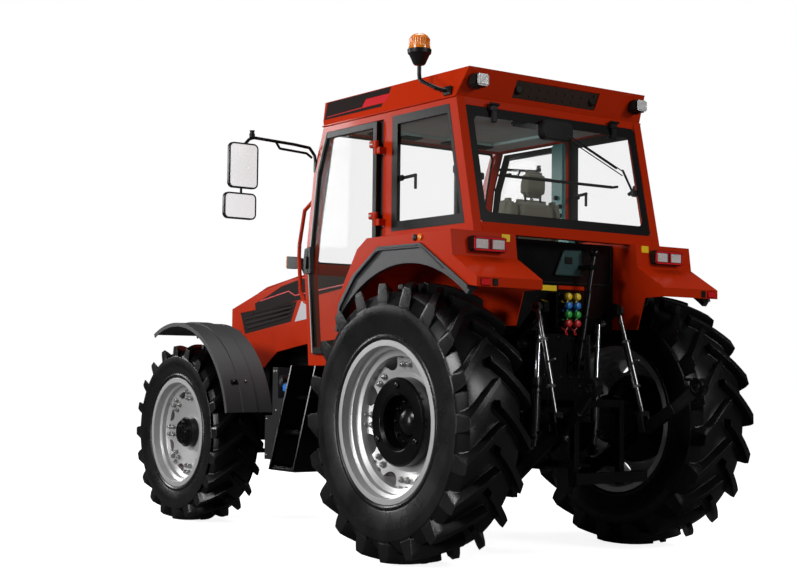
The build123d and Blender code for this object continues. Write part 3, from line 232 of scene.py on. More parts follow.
def prism(bm, outline, direction, width=0.0):
    """Straight body on a closed outline."""
    lofted(bm, [[bm.verts.new(Vector(p) + shift) for p in outline] for shift in (Vector(), Vector(direction))], width)


def block(bm, low, high, width=0.003):
    """Box with rounded edges between two corners."""
    (x0, y0, z0), (x1, y1, z1) = low, high
    prism(bm, ((x0, y0, z0), (x1, y0, z0), (x1, y1, z0), (x0, y1, z0)), (0, 0, z1 - z0), width)


def rod(bm, start, end, radius, sides=16, width=0.0):
    """Round or, with few sides, flat-sided bar."""
    run = Vector(end) - Vector(start)
    rounded(bm, turned(bm, ((0, radius), (run.length, radius)), start, run, sides), width)


def ride(name, bm, material, body="root", replaces=(), sharp=35):
    """The finished piece, on the body that it moves with."""
    mesh = bpy.data.meshes.new(name)
    bm.to_mesh(mesh)
    bm.free()
    mesh.shade_smooth()
    mesh.set_sharp_from_angle(angle=math.radians(sharp))
    mesh.materials.append(material)
    made = bpy.data.objects.new(name, mesh)
    bpy.context.scene.collection.objects.link(made)
    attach(made, body)
    if replaces:
        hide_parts(*replaces)
    return made


def dress(material, *nodes):
    """Puts a finish on carried-over CAD nodes."""
    for node in nodes:
        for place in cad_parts[node].material_slots:
            place.material = material


def array_tree():
    """Copies of one mesh, turned about an axis through a centre, or set along a step, or both."""
    tree = bpy.data.node_groups.new("copies", "GeometryNodeTree")
    for name, kind in (("Geometry", "NodeSocketGeometry"), ("Count", "NodeSocketInt"), ("Centre", "NodeSocketVector"),
                       ("Turn", "NodeSocketVector"), ("Step", "NodeSocketVector"), ("Finish", "NodeSocketMaterial")):
        tree.interface.new_socket(name, in_out="INPUT", socket_type=kind)
    tree.interface.new_socket("Geometry", in_out="OUTPUT", socket_type="NodeSocketGeometry")

    def node(kind, settings=None, **links):
        made = tree.nodes.new(kind)
        for key, value in (settings or {}).items():
            setattr(made, key, value)
        for key, value in links.items():
            socket = made.inputs[int(key[1:])] if key[1:].isdigit() else made.inputs[key.replace("_", " ")]
            if isinstance(value, bpy.types.NodeSocket):
                tree.links.new(value, socket)
            else:
                socket.default_value = value
        return made

    given = node("NodeGroupInput").outputs
    index = node("GeometryNodeInputIndex").outputs[0]
    points = node("GeometryNodePoints", Count=given["Count"]).outputs[0]
    step = node("ShaderNodeVectorMath", {"operation": "SCALE"}, i0=given["Step"], Scale=index).outputs[0]
    moved = node("GeometryNodeSetPosition", Geometry=points, Offset=step).outputs[0]
    copies = node("GeometryNodeInstanceOnPoints", Points=moved, Instance=given["Geometry"]).outputs[0]
    turn = node("ShaderNodeVectorMath", {"operation": "SCALE"}, i0=given["Turn"], Scale=index).outputs[0]
    spun = node("GeometryNodeRotateInstances", Instances=copies, Rotation=turn, Pivot_Point=given["Centre"],
                Local_Space=False).outputs[0]
    real = node("GeometryNodeRealizeInstances", Geometry=spun).outputs[0]
    done = node("GeometryNodeSetMaterial", Geometry=real, Material=given["Finish"]).outputs[0]
    node("NodeGroupOutput", Geometry=done)
    return tree


copies_tree = array_tree()


def copies(bm, name, material, count, centre=(0, 0, 0), turn=(0, 0, 0), step=(0, 0, 0), body="root", slot=None,
           replaces=(), sharp=35, also=None):
    """A piece made of copies of one mesh, with another mesh, also, joined to it."""
    mesh = bpy.data.meshes.new(name)
    bm.to_mesh(mesh)
    bm.free()
    maker = bpy.data.objects.new(name + "_maker", mesh)
    bpy.context.scene.collection.objects.link(maker)
    modifier = maker.modifiers.new("copies", "NODES")
    modifier.node_group = copies_tree
    named = {item.name: item.identifier for item in copies_tree.interface.items_tree if item.in_out == "INPUT"}
    for socket, value in (("Count", count), ("Centre", centre), ("Turn", turn), ("Step", step), ("Finish", material)):
        modifier[named[socket]] = value
    plain = bpy.data.meshes.new_from_object(maker.evaluated_get(bpy.context.evaluated_depsgraph_get()))
    bpy.data.objects.remove(maker)
    whole = bmesh.new()
    whole.from_mesh(plain)
    for extra in also or ():
        more = bpy.data.meshes.new("more")
        extra.to_mesh(more)
        extra.free()
        whole.from_mesh(more)
    bpy.data.meshes.remove(plain)
    return ride(name, whole, material, body, replaces, sharp)


def middle(node):
    """Middle of a CAD node's box."""
    low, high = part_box(node)
    return (low + high) / 2


rubber = surface("tyre_rubber", (0.0050, 0.0050, 0.0054), 0.28, (6.0, 0.4), (260.0, 0.0004), 0.006, 0.24,
                 Specular_IOR_Level=0.36)


def tyre_bar(bm, centre, side, half, radius, tread, hand):
    """One bar of the tread: narrow and tall at the middle, wide at the shoulder, where it ends in a steep face."""
    rings = []
    stations = [(share, 0.0) for share in (0.0, 0.14, 0.3, 0.48, 0.66, 0.84, 1.0)] + [(1.008, bar_end_drop)]
    for share, drop in stations:
        across = -bar_overlap + (half - shoulder_inset + bar_overlap) * share
        lag = bar_sweep * share ** bar_curve
        width = radius * (bar_width + bar_flare * share)
        top = radius - bar_crown * share ** 2.2 - drop
        low = tread - 0.02 - 0.045 * share ** 3 - 0.8 * drop
        out = Vector((math.sin(lag), 0, -math.cos(lag)))
        along = Vector((math.cos(lag), 0, math.sin(lag)))
        start = Vector(centre) + Vector((0, side * hand * across, 0))
        flank = ((low, 0.66), (tread + 0.3 * (top - tread), 0.53), (top - 0.006, 0.43), (top, 0.385))
        section = [(r, -a) for r, a in flank] + [(r, a) for r, a in reversed(flank)]
        rings.append([bm.verts.new(start + out * r + along * a * width) for r, a in section])
    lofted(bm, rings)


def tyre_outline(half, rim_radius, radius, tread):
    """Half of the carcass's section, as (distance from the middle, radius), from inside the rim to the tread."""
    waist, bead = (radius + rim_radius) / 2, half - bead_inset
    hollow = [(0.0, rim_radius - 0.02), (bead - 0.06, rim_radius - 0.022), (bead - 0.002, rim_radius - 0.0247)]
    guard = [(bead + out, rim_radius + up) for out, up in (
        (0.0, 0.0003), (0.008, 0.004), (0.0135, 0.014), (0.0135, 0.024), (0.009, 0.032), (0.012, 0.038))]
    wall = [(half - inset, waist + up) for inset, up in (
        (0.005, -0.045), (0.0035, -0.040), (0.001, -0.018), (0.0, 0.004), (0.002, 0.030), (0.006, 0.034))]
    shoulder = [(half - inset, tread - down) for inset, down in (
        (0.014, 0.065), (0.026, 0.036), (0.045, 0.012), (0.075, 0.003))]
    return hollow + guard + wall + shoulder + [(0.05, tread)]


for end, half, rim_radius in tyre_sizes:
    for side, hand_name in sides:
        node = f"{end}_tyre_{hand_name}"
        centre = middle(node)
        radius = centre.z
        centre.y = middle(f"{end}_rim_{hand_name}").y
        tread = radius * tread_share
        half_line = tyre_outline(half, rim_radius, radius, tread)
        whole_line = half_line + [(-t, r) for t, r in reversed(half_line[1:])]
        carcass = bmesh.new()
        turned(carcass, whole_line, centre, (0, side, 0), 120, closed=True)
        near_row, far_row = bmesh.new(), bmesh.new()
        tyre_bar(near_row, centre, side, half, radius, tread, 1)
        tyre_bar(far_row, centre, side, half, radius, tread, -1)
        pitch = 2 * math.pi / bars_in_row
        bmesh.ops.rotate(far_row, verts=far_row.verts, cent=centre, matrix=Matrix.Rotation(pitch / 2, 3, "Y"))
        pair = bpy.data.meshes.new("pair")
        far_row.to_mesh(pair)
        near_row.from_mesh(pair)
        far_row.free()
        copies(near_row, f"{end}_tread_{hand_name}", rubber, bars_in_row, centre, (0, pitch, 0),
               body=f"{end}_wheel_{hand_name}", slot="tyre", replaces=(node,), sharp=28, also=(carcass,))


# ---- Rims and hubs ----
# Silver-painted steel rims with dished discs, which bolt to brackets in the rim with four bolts at each lobe. The
# hubs are black castings: the rear ones deep and open, the front ones planetary drums with a bolted cover.
silver = surface("rim_silver", (0.62, 0.62, 0.62), 0.37, (5.0, 0.05), (1500.0, 0.00002), 0.003, 0.10, Metallic=0.50)
black_paint = surface("chassis_black", (0.003, 0.003, 0.0032), 0.22, (4.0, 0.35), (240.0, 0.00012), 0.004, 0.26,
                      Specular_IOR_Level=0.27)
zinc = surface("zinc_plate", (0.50, 0.50, 0.48), 0.30, (30.0, 0.15), (900.0, 0.00003), 0.001, 0.14, Metallic=1.0)
lobes_in_disc = 8
dish_clear, dish_low, dish_rise, dish_slope = 0.03, 0.012, 0.028, 0.14    # the disc's cone between hub and lobes
hub_plug_radius, hub_bolt_radius, cover_bolt_radius = 0.205, 0.118, 0.066
hub_plug, plug_sunk = ((0.006, 0.017), (0.009, 0.011), (0.009, 0.004)), 0.004
hub_cap = ((0.004, 0.086), (0.022, 0.086), (0.034, 0.070), (0.046, 0.036), (0.048, 0.0))
# End, disc's face from the tractor's middle, hub's radius and reach, lobes' radius, width of the dished cone, half of
# the spacing of a lobe's bolts across and up, bolts' size, and the valve's place ahead of and above the axle.
rim_sizes = (("rear", 0.905, 0.250, 0.095, 0.352, 0.094, (0.030, 0.026), 0.0150, (0.30, 0.245)),
             ("front", 0.873, 0.103, 0.110, 0.262, 0.158, (0.026, 0.022), 0.0130, (0.235, 0.19)))


def spoke(turn):
    """Direction straight away from the axle, turned from straight up."""
    return Vector((math.sin(turn), 0, math.cos(turn)))


def bolt(bm, place, axis, across=0.012, head=0.010, washer=True):
    """Hexagon bolt head on a washer, standing on a face."""
    place, axis = Vector(place), Vector(axis).normalized()
    if washer:
        turned(bm, ((0, across * 1.3), (0.0028, across * 1.3)), place, axis, 14)
    turned(bm, ((0.002, across), (head - 0.0015, across), (head, across * 0.86)), place, axis, 6)
    shank = ((head - 0.002, across * 0.5), (head + 0.005, across * 0.5), (head + 0.0065, across * 0.36))
    turned(bm, shank, place, axis, 8)


def rear_hub_fittings(bm, centre, out, reach):
    """Three screwed plugs on the rim of the deep hub, and the bolts and cap at its bottom."""
    for turn in (0, 1, 2):
        place = centre + spoke(2 * math.pi * turn / 3) * hub_plug_radius
        turned(bm, [(reach - plug_sunk, hub_plug[0][1])] + [(reach + up, r) for up, r in hub_plug], place, out, 14)
    for turn in range(10):
        bolt(bm, centre + spoke(2 * math.pi * (turn + 0.5) / 10) * hub_bolt_radius + out * 0.0052, out, 0.013, 0.014)
    turned(bm, hub_cap, centre, out, 40)


def front_hub_fittings(bm, centre, out, reach):
    """Cover bolts, the seam round the drum and the drain plug of the planetary hub."""
    for turn in range(8):
        place = centre + spoke(2 * math.pi * (turn + 0.5) / 8) * cover_bolt_radius + out * (reach - 0.0125)
        bolt(bm, place, out, 0.008, 0.008, False)
    seam = ((reach - 0.05, 0.1005), (reach - 0.05, 0.104), (reach - 0.044, 0.104), (reach - 0.044, 0.0995))
    turned(bm, seam, centre, out, 60)
    turned(bm, ((reach - 0.001, 0.020), (reach + 0.004, 0.018), (reach + 0.0045, 0.0)), centre, out, 6)


for end, disc_at, hub_radius, hub_reach, lobe_radius, dish_width, (spread, gap), bolt_size, valve_at in rim_sizes:
    for side, hand_name in sides:
        centre = middle(f"{end}_rim_{hand_name}")
        centre.y = side * disc_at
        out = Vector((0, side, 0))
        body = f"{end}_wheel_{hand_name}"
        lobes = bmesh.new()
        face = dish_low + dish_rise * (lobe_radius - hub_radius - dish_clear) / dish_width + 0.004
        for a, r in ((-spread, -gap), (spread, -gap), (-spread, gap), (spread, gap)):
            spot = centre + spoke(a / (lobe_radius + r)) * (lobe_radius + r)
            bolt(lobes, spot + out * (face + r * dish_slope), out, bolt_size, 0.017)
        copies(lobes, f"{end}_lobe_bolts_{hand_name}", zinc, lobes_in_disc, centre, (0, 2 * math.pi / lobes_in_disc, 0),
               body=body, slot="silver")
        fittings = bmesh.new()
        (rear_hub_fittings if end == "rear" else front_hub_fittings)(fittings, centre, out, hub_reach)
        ride(f"{end}_hub_fittings_{hand_name}", fittings, black_paint, body)
        valve = bmesh.new()
        place = centre + Vector((valve_at[0], 0, valve_at[1]))
        rod(valve, place + out * 0.03, place + out * 0.075, 0.0045, 10)
        rod(valve, place + out * 0.062, place + out * 0.078, 0.0065, 10, 0.001)
        ride(f"{end}_valve_{hand_name}", valve, zinc, body)
        dress(silver, f"{end}_rim_{hand_name}")
        dress(black_paint, f"{end}_hub_{hand_name}")


# ---- Chassis ----
# Cast iron housings bolted end to end under black paint: engine, clutch bell, gearbox, rear housing with its two
# axle trumpets, and the front support with its axle. Rings of bolts close the joints.
dress(black_paint, "engine_block", "transmission_housing", "rear_axle_housings", "front_support", "front_axle_beam",
      "steering_knuckle_left", "steering_knuckle_right", "tie_rod", "hitch_frame", "lower_links", "lift_arms",
      "top_link", "couplers", "cab_floor")
mount_rubber = surface("mount_rubber", (0.02, 0.02, 0.02), 0.7, (20.0, 0.2), (300.0, 0.0003), 0.004, 0.1)
dress(mount_rubber, "cab_mounts")
shaft_guard = surface("shaft_guard", (0.03, 0.03, 0.032), 0.45, (8.0, 0.2), (500.0, 0.0001), 0.002, 0.1)
dress(shaft_guard, "drive_shaft")

rear_axle = middle("rear_hub_left")
trumpet_flange, trumpet_ring = (0.2115, 0.30), 0.175    # from the middle: the bolts' face and their ring's middle
joint_rows = ((0.56, 1.045), (-0.18, -0.108, -0.036, 0.036, 0.108, 0.18))
joint_columns = ((0.65, 0.74, 0.83, 0.95), (-0.18, 0.18))
upper_row = (1.275, (-0.15, -0.05, 0.05, 0.15))
cover_half, cover_low, cover_high = 0.135, 0.565, 0.82  # the bolted cover round the power take-off

def from_axle(x, y, z):
    """Point measured from the rear axle's middle along and across the tractor, and from the ground up."""
    return Vector((rear_axle.x + x, y, z))


for side, hand_name in sides:
    flange = bmesh.new()
    bolt(flange, from_axle(0, side * trumpet_flange[0], rear_axle.z + trumpet_ring), (0, side, 0), 0.011, 0.011)
    place = from_axle(0, side * trumpet_flange[1], rear_axle.z)
    copies(flange, f"trumpet_bolts_{hand_name}", black_paint, 12, place, (0, math.pi / 6, 0), slot="black")

rear_face = bmesh.new()
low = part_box("transmission_housing")[0]
joint_bolts = [(y, z) for y in joint_rows[1] for z in joint_rows[0]]
joint_bolts += [(y, z) for y in joint_columns[1] for z in joint_columns[0]] + [(y, upper_row[0]) for y in upper_row[1]]
for y, z in joint_bolts:
    bolt(rear_face, (low.x - 0.0002, y, z), (-1, 0, 0), 0.0095, 0.009)
cover = [(-cover_half, cover_low + 0.035), (-0.10, cover_low), (0.10, cover_low), (cover_half, cover_low + 0.035),
         (cover_half, cover_high - 0.04), (0.10, cover_high), (-0.10, cover_high), (-cover_half, cover_high - 0.04)]
prism(rear_face, [(low.x + 0.001, y, z) for y, z in cover], (-0.016, 0, 0), 0.003)
for y, z in ((-0.115, 0.62), (0.115, 0.62), (-0.115, 0.76), (0.115, 0.76), (0.0, 0.80), (0.0, 0.585)):
    bolt(rear_face, (low.x - 0.015, y, z), (-1, 0, 0), 0.008, 0.008, False)
ride("rear_housing_fittings", rear_face, black_paint)

# ---- Power take-off ----
# Splined steel stub with six teeth, under a bent sheet guard that keeps clothes off it.
teeth_on_stub, stub_root, stub_top, bare_end = 6, 0.0145, 0.0173, 0.078
guard_front, guard_half, guard_top, sheet = -0.300, 0.12, 0.795, 0.006
stub, tooth = bmesh.new(), bmesh.new()
start = middle("pto_shaft")
half_stub = (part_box("pto_shaft")[1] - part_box("pto_shaft")[0]).x / 2
tooth_end = ((-0.0038, stub_root - 0.001), (0.0038, stub_root - 0.001), (0.0034, stub_top), (-0.0034, stub_top))
prism(tooth, [start + Vector((0.002 - half_stub, y, z)) for y, z in tooth_end], (0.072, 0, 0), 0.0006)
rod(stub, start - Vector((half_stub, 0, 0)), start + Vector((half_stub, 0, 0)), stub_root, 28, 0.001)
rod(stub, start - Vector((half_stub - bare_end, 0, 0)), start + Vector((half_stub, 0, 0)), stub_top + 0.0001, 28, 0.001)
copies(tooth, "pto_splines", zinc, teeth_on_stub, start, (2 * math.pi / teeth_on_stub, 0, 0), body="pto_shaft",
       slot="chrome", replaces=("pto_shaft",), also=(stub,))
guard = bmesh.new()
cheek = ((guard_front, 0.60), (guard_front, guard_top), (-0.43, guard_top), (-0.40, 0.67))
for y in (-guard_half, guard_half - sheet):
    prism(guard, [from_axle(x, y, z) for x, z in cheek], (0, sheet, 0), 0.001)
block(guard, from_axle(-0.43, -guard_half, guard_top - sheet), from_axle(guard_front - 0.0005, guard_half, guard_top),
      0.001)
ride("pto_guard", guard, black_paint)

# ---- Front weights ----
# Eleven cast slabs hung side by side, each with a grip cut through its top. A near-black block in each grip is painted
# shade for the hole.
cast_iron = surface("weight_iron", (0.012, 0.012, 0.0125), 0.5, (9.0, 0.3), (160.0, 0.0005), 0.006, 0.15)
dress(cast_iron, "front_weights")
# Near-black and rough: painted shade in holes, used for the weights' grips and the roof vent's slots.
shade = surface("painted_hole_shade", (0.004, 0.004, 0.004), 0.8, (9.0, 0.2), (160.0, 0.0002), 0.0, 0.05)
slabs, slab_pitch, slab_width = 11, 0.045, 0.0405
low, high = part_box("front_weights")
grip = bmesh.new()
block(grip, (low.x + 0.06, low.y - 0.0006, high.z - 0.075), (low.x + 0.15, low.y + slab_width, high.z - 0.045), 0.008)
copies(grip, "weight_grips", shade, slabs, step=(0, slab_pitch, 0), slot="black")

# ---- Front fenders ----
# Moulded plastic arches with rolled edges, which turn with the wheels. Each is bolted to its bracket through a
# slotted plate at the rear of the arch.
fender_plastic = surface("fender_plastic", (0.040, 0.041, 0.043), 0.52, (3.5, 0.16), (900.0, 0.00022), 0.005, 0.16)
dress(fender_plastic, "front_fender_left", "front_fender_right")
front_axle = middle("front_hub_left")
plate_turn, plate_radius, plate_y = math.radians(152), 0.772, 0.90
plate_half = (0.016, 0.065)
plate_thick, bolts_off = 0.004, 0.045
outward = Vector((math.cos(plate_turn), 0, math.sin(plate_turn)))
along = Vector((-math.sin(plate_turn), 0, math.cos(plate_turn)))
for side, hand_name in sides:
    place = Vector((front_axle.x, side * plate_y, front_axle.z)) + outward * plate_radius
    plate, heads = bmesh.new(), bmesh.new()
    corners = [place + along * a * plate_half[0] + Vector((0, b * plate_half[1], 0))
               for a, b in ((-1, -1), (-1, 1), (1, 1), (1, -1))]
    prism(plate, corners, outward * plate_thick, 0.001)
    for b in (-bolts_off, bolts_off):
        spot = place + Vector((0, b, 0))
        bolt(plate, spot + outward * plate_thick, outward, 0.009, 0.007)
        turned(heads, ((0.009, 0.0062), (0.0135, 0.0056), (0.0145, 0.002)), spot + outward * 0.003, outward, 10)
    ride(f"fender_plate_{hand_name}", plate, black_paint, f"knuckle_{hand_name}")
    ride(f"fender_plate_bolts_{hand_name}", heads, zinc, f"knuckle_{hand_name}")


# ---- Bonnet ----
# One-piece sheet bonnet in deep red gloss paint, with black moulded louvres let into its sides, a dark printed band
# with a thin red line above them, and a pale slanted field behind. The nose has slats between two lamps.
red_paint = surface("red_paint", (0.50, 0.026, 0.0030), 0.26, (1.6, 0.07), (300.0, 0.00006), 0.006, 0.08,
                    Specular_IOR_Level=0.08, Coat_Weight=0.14, Coat_Roughness=0.05)
dress(red_paint, "bonnet", "cab_side_left", "cab_side_right", "cab_crossmembers", "cab_roof", "rear_fenders")
moulded_black = surface("moulded_black", (0.009, 0.0085, 0.008), 0.36, (6.0, 0.2), (700.0, 0.00015), 0.003, 0.16,
                        Specular_IOR_Level=0.2)
dress(moulded_black, "cowl", "consoles")
band_black = surface("band_black", (0.014, 0.0085, 0.0075), 0.60, (5.0, 0.1), (900.0, 0.00002), 0.0, 0.05,
                     Specular_IOR_Level=0.08)
dress(band_black, "bonnet_grilles")
band_red = surface("band_red", (0.62, 0.012, 0.022), 0.30, (5.0, 0.05), (900.0, 0.00002), 0.0, 0.05)
field_grey = surface("field_grey", (0.56, 0.54, 0.57), 0.32, (5.0, 0.05), (900.0, 0.00002), 0.0, 0.05)


def side_plate(bm, outline, side, y0, y1, width=0.0):
    """Plate of a side outline (X and Z from the rear axle), between two distances from the middle."""
    prism(bm, [from_axle(x, side * y0, z) for x, z in outline], (0, side * (y1 - y0), 0), width)


def line_strip(bm, line, wide, side, y0, y1):
    """Narrow printed line that follows points."""
    for (x0, z0), (x1, z1) in zip(line, line[1:]):
        run = math.dist((x0, z0), (x1, z1))
        nx, nz = -(z1 - z0) / run * wide / 2, (x1 - x0) / run * wide / 2
        side_plate(bm, ((x0 + nx, z0 + nz), (x1 + nx, z1 + nz), (x1 - nx, z1 - nz), (x0 - nx, z0 - nz)), side, y0, y1)


bonnet_half = 0.330
band_outline = ((2.716, 1.557), (2.640, 1.578), (2.526, 1.609), (2.351, 1.667), (2.106, 1.708), (1.475, 1.748),
                (1.475, 1.632), (2.093, 1.565), (2.703, 1.480))
red_line, red_line_width = ((2.640, 1.572), (2.245, 1.630), (2.159, 1.597), (2.094, 1.602), (1.478, 1.655)), 0.008
field_outline = ((2.158, 1.410), (2.074, 1.552), (2.012, 1.548), (1.900, 1.560), (1.955, 1.432))
grille_front, grille_rear = ((2.930, 1.490), (2.856, 1.331)), ((2.132, 1.554), (2.210, 1.411))
grille_inset, slats_at = 0.045, (0.30, 0.52, 0.74)
slat_section = ((-0.12, -0.004), (0.03, 0.0045), (0.045, 0.001), (-0.10, -0.009))    # share of the height, proud
corner_plate = ((2.905, 1.492), (2.872, 1.440), (2.735, 1.455), (2.742, 1.506))
print_thick = 0.0016


def down_edge(edge, share, shift):
    """Point on a slanted grille edge, from its top, moved along the tractor."""
    (top_x, top_z), (low_x, low_z) = edge
    return top_x + (low_x - top_x) * share + shift, top_z + (low_z - top_z) * share


for side, hand_name in sides:
    band, line, field, louvres = (bmesh.new() for _ in range(4))
    face, proud = bonnet_half + 0.0002, bonnet_half + print_thick
    side_plate(band, band_outline, side, face, proud, 0.0005)
    line_strip(line, red_line, red_line_width, side, proud, proud + 0.0006)
    side_plate(field, field_outline, side, face, bonnet_half + 0.0010)
    for slat in slats_at:
        rings = []
        for edge, shift in ((grille_front, -grille_inset), (grille_rear, grille_inset)):
            rings.append([])
            for share, out in slat_section:
                x, z = down_edge(edge, slat + share, shift)
                rings[-1].append(louvres.verts.new(from_axle(x, side * (bonnet_half + out), z)))
        lofted(louvres, rings)
    side_plate(louvres, corner_plate, side, bonnet_half - 0.006, bonnet_half + 0.001, 0.002)
    ride(f"bonnet_band_{hand_name}", band, band_black, "bonnet")
    ride(f"bonnet_line_{hand_name}", line, band_red, "bonnet")
    ride(f"bonnet_field_{hand_name}", field, field_grey, "bonnet")
    ride(f"bonnet_louvres_{hand_name}", louvres, band_black, "bonnet")

bowl = surface("lamp_reflector", (0.8, 0.8, 0.8), 0.12, (20.0, 0.05), (200.0, 0.0001), 0.0, 0.05, Metallic=1.0)
clear_lens = surface("clear_lens", (0.72, 0.74, 0.76), 0.10, (40.0, 0.25), (90.0, 0.0012), 0.001, 0.06,
                     Alpha=0.55, Specular_IOR_Level=0.6)
dress(moulded_black, "headlamps")
lens_y, lens_z, lens_thick = (0.066, 0.229), (1.426, 1.499), 0.006
cups_y = (0.105, 0.188)
reflector = ((0.0, 0.001), (0.0012, 0.012), (0.0016, 0.031), (0.0004, 0.033), (0.0, 0.033))
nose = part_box("headlamps")[1].x
for side, hand_name in sides:
    lens, cups = bmesh.new(), bmesh.new()
    low, high = sorted(side * y for y in lens_y)
    block(lens, (nose, low, lens_z[0]), (nose + lens_thick, high, lens_z[1]), 0.003)
    for y in cups_y:
        turned(cups, reflector, (nose, side * y, sum(lens_z) / 2), (1, 0, 0), 24)
    ride(f"headlamp_lens_{hand_name}", lens, clear_lens, "bonnet")
    ride(f"headlamp_bowls_{hand_name}", cups, bowl, "bonnet")

# ---- Cab frame ----
# Square steel tubes and pressings welded together and painted with the bonnet. A grab rail stands off the front
# pillar on two feet, each held by a screw.
rail_screws = ((1.502, 1.965), (1.519, 1.890), (1.352, 2.170), (1.392, 1.497))
pillar_out, middle_pillar_out, middle_pillar_x = 0.7125, 0.7352, 0.518
middle_screws_z = (1.945, 1.965, 2.380, 2.400)
strip_x, strip_z, strip_y, strip_half = (0.526, 0.594), (1.862, 2.586), 0.7085, 0.0185
gutter_start, gutter_length = -0.170, 1.368
gutter = ((0.7355, 2.630), (0.747, 2.634), (0.747, 2.640), (0.744, 2.640), (0.743, 2.636), (0.7355, 2.634))


def round_screw(bm, place, out, profile=((0, 0.008), (0.004, 0.0075), (0.006, 0.004))):
    """Round-headed screw, standing on a face."""
    turned(bm, profile, place, out, 10)


for side, hand_name in sides:
    screws, seal_strip, rain_rail = (bmesh.new() for _ in range(3))
    for x, z in rail_screws:
        round_screw(screws, from_axle(x, side * pillar_out, z), (0, side, 0))
    for z in middle_screws_z:
        place = from_axle(middle_pillar_x, side * middle_pillar_out, z)
        round_screw(screws, place, (0, side, 0), ((0, 0.009), (0.005, 0.0085), (0.008, 0.004)))
    ride(f"pillar_screws_{hand_name}", screws, zinc)
    block(seal_strip, from_axle(strip_x[0], side * strip_y - strip_half, strip_z[0]),
          from_axle(strip_x[1], side * strip_y + strip_half, strip_z[1]), 0.006)
    ride(f"door_seal_strip_{hand_name}", seal_strip, mount_rubber)
    prism(rain_rail, [from_axle(gutter_start, side * y, z) for y, z in gutter], (gutter_length, 0, 0), 0.0005)
    ride(f"rain_rail_{hand_name}", rain_rail, red_paint)

# ---- Windows ----
# Flat tinted panes, bonded over the frame, with a black printed border. The rear one hangs on two hinges at its top.
glass = surface("tinted_glass", (0.30, 0.34, 0.31), 0.03, (2.0, 0.1), (20.0, 0.0), 0.0, 0.02, Alpha=0.035,
                Specular_IOR_Level=0.55)
door_tint = surface("door_glass_tint", (0.20, 0.19, 0.15), 0.03, (2.0, 0.1), (20.0, 0.0), 0.0, 0.02, Alpha=0.05,
                    Specular_IOR_Level=0.55)
border = surface("window_border", (0.006, 0.0055, 0.005), 0.35, (4.0, 0.2), (900.0, 0.00002), 0.001, 0.08,
                 Specular_IOR_Level=0.2)
dress(glass, "cab_glass")
dress(door_tint, "door_glass_left", "door_glass_right")


def arc_corners(low, high, z0, z1, radius, steps=5):
    """Corners of a rectangle with round corners, as (Y, Z)."""
    points = []
    for cy, cz, start in ((high - radius, z1 - radius, 0), (low + radius, z1 - radius, 90),
                          (low + radius, z0 + radius, 180), (high - radius, z0 + radius, 270)):
        for k in range(steps):
            turn = math.radians(start + 90 * k / (steps - 1))
            points.append((cy + radius * math.cos(turn), cz + radius * math.sin(turn)))
    return points


def hollow_frame(bm, loops):
    """Frame from four loops of corners: outer and inner edge of one face, then of the other."""
    count, faces = len(loops[0]), []
    for k in range(count):
        m = (k + 1) % count
        for a, b in ((0, 1), (1, 3), (3, 2), (2, 0)):
            faces.append(bm.faces.new((loops[a][k], loops[a][m], loops[b][m], loops[b][k])))
    bmesh.ops.recalc_face_normals(bm, faces=faces)


def pane_x(line, z):
    """X of a sloping pane at a height, from its two ends ((z, x), (z, x))."""
    (za, xa), (zb, xb) = line
    return xa + (xb - xa) * (z - za) / (zb - za)


# Panes' slopes, and each border's outer and inner edge.
rear_slope, front_slope = ((1.9123, -0.3216), (2.5944, -0.1748)), ((1.7603, 1.368), (2.5944, 1.176))
rear_border = arc_corners(-0.674, 0.674, 1.9135, 2.5935, 0.03), arc_corners(-0.622, 0.622, 1.972, 2.535, 0.035)
front_border = arc_corners(-0.674, 0.674, 1.7615, 2.5935, 0.03), arc_corners(-0.662, 0.662, 1.775, 2.58, 0.03)
side_border = (((0.437, 1.905), (0.437, 2.600), (-0.112, 2.600), (-0.262, 1.905)),
               ((0.385, 1.962), (0.385, 2.548), (-0.097, 2.548), (-0.222, 1.962)))
side_border_y, border_thick = (0.7115, 0.7365), 0.004
frames = bmesh.new()
for edges, slope, off in ((rear_border, rear_slope, -0.0045), (front_border, front_slope, 0.0005)):
    hollow_frame(frames, [[frames.verts.new(from_axle(pane_x(slope, z) + proud, y, z)) for y, z in edge]
                          for proud in (off, off + border_thick) for edge in edges])
for side, _ in sides:
    hollow_frame(frames, [[frames.verts.new(from_axle(x, side * y, z)) for x, z in edge]
                          for y in side_border_y for edge in side_border])
ride("window_borders", frames, border)

# Rear hinges: two folded leaves and a knuckle, each with its middle at hinge_y. X, Z and half of the width.
hinge_y = 0.48
hinge_leaves = (((-0.212, -0.176), (2.572, 2.618), 0.026), ((-0.214, -0.194), (2.505, 2.580), 0.020))
knuckle_x, knuckle_z, knuckle_half = -0.210, 2.612, 0.034
# Catches and handles inside the panes. Blocks: Y, reach towards low and high Y, X, Z, edge. Bars: ends, radius, edge.
catch_y, pane_y, handle_y = 0.612, 0.715, 0.690
catch_blocks = ((catch_y, (0.02, 0.02), (-0.262, -0.235), (2.16, 2.20), 0.005),
                (pane_y, (0.008, 0.008), (0.35, 0.385), (2.205, 2.240), 0.004),
                (pane_y, (0.012, 0.02), (-0.185, -0.145), (2.195, 2.245), 0.006))
handle_bars = (((-0.250, 0.60, 2.18), (-0.12, 0.640, 2.34), 0.007, 0.0),
               ((0.365, 0.700, 2.225), (0.255, handle_y, 2.232), 0.010, 0.002),
               ((0.262, handle_y, 2.232), (0.262, handle_y, 2.150), 0.009, 0.002),
               ((-0.165, 0.700, 2.215), (-0.120, handle_y, 2.190), 0.012, 0.003))
fittings = bmesh.new()
for y in (-hinge_y, hinge_y):
    for x, z, half in hinge_leaves:
        block(fittings, from_axle(x[0], y - half, z[0]), from_axle(x[1], y + half, z[1]), 0.006)
    rod(fittings, from_axle(knuckle_x, y - knuckle_half, knuckle_z), from_axle(knuckle_x, y + knuckle_half, knuckle_z),
        0.009, 14, 0.002)
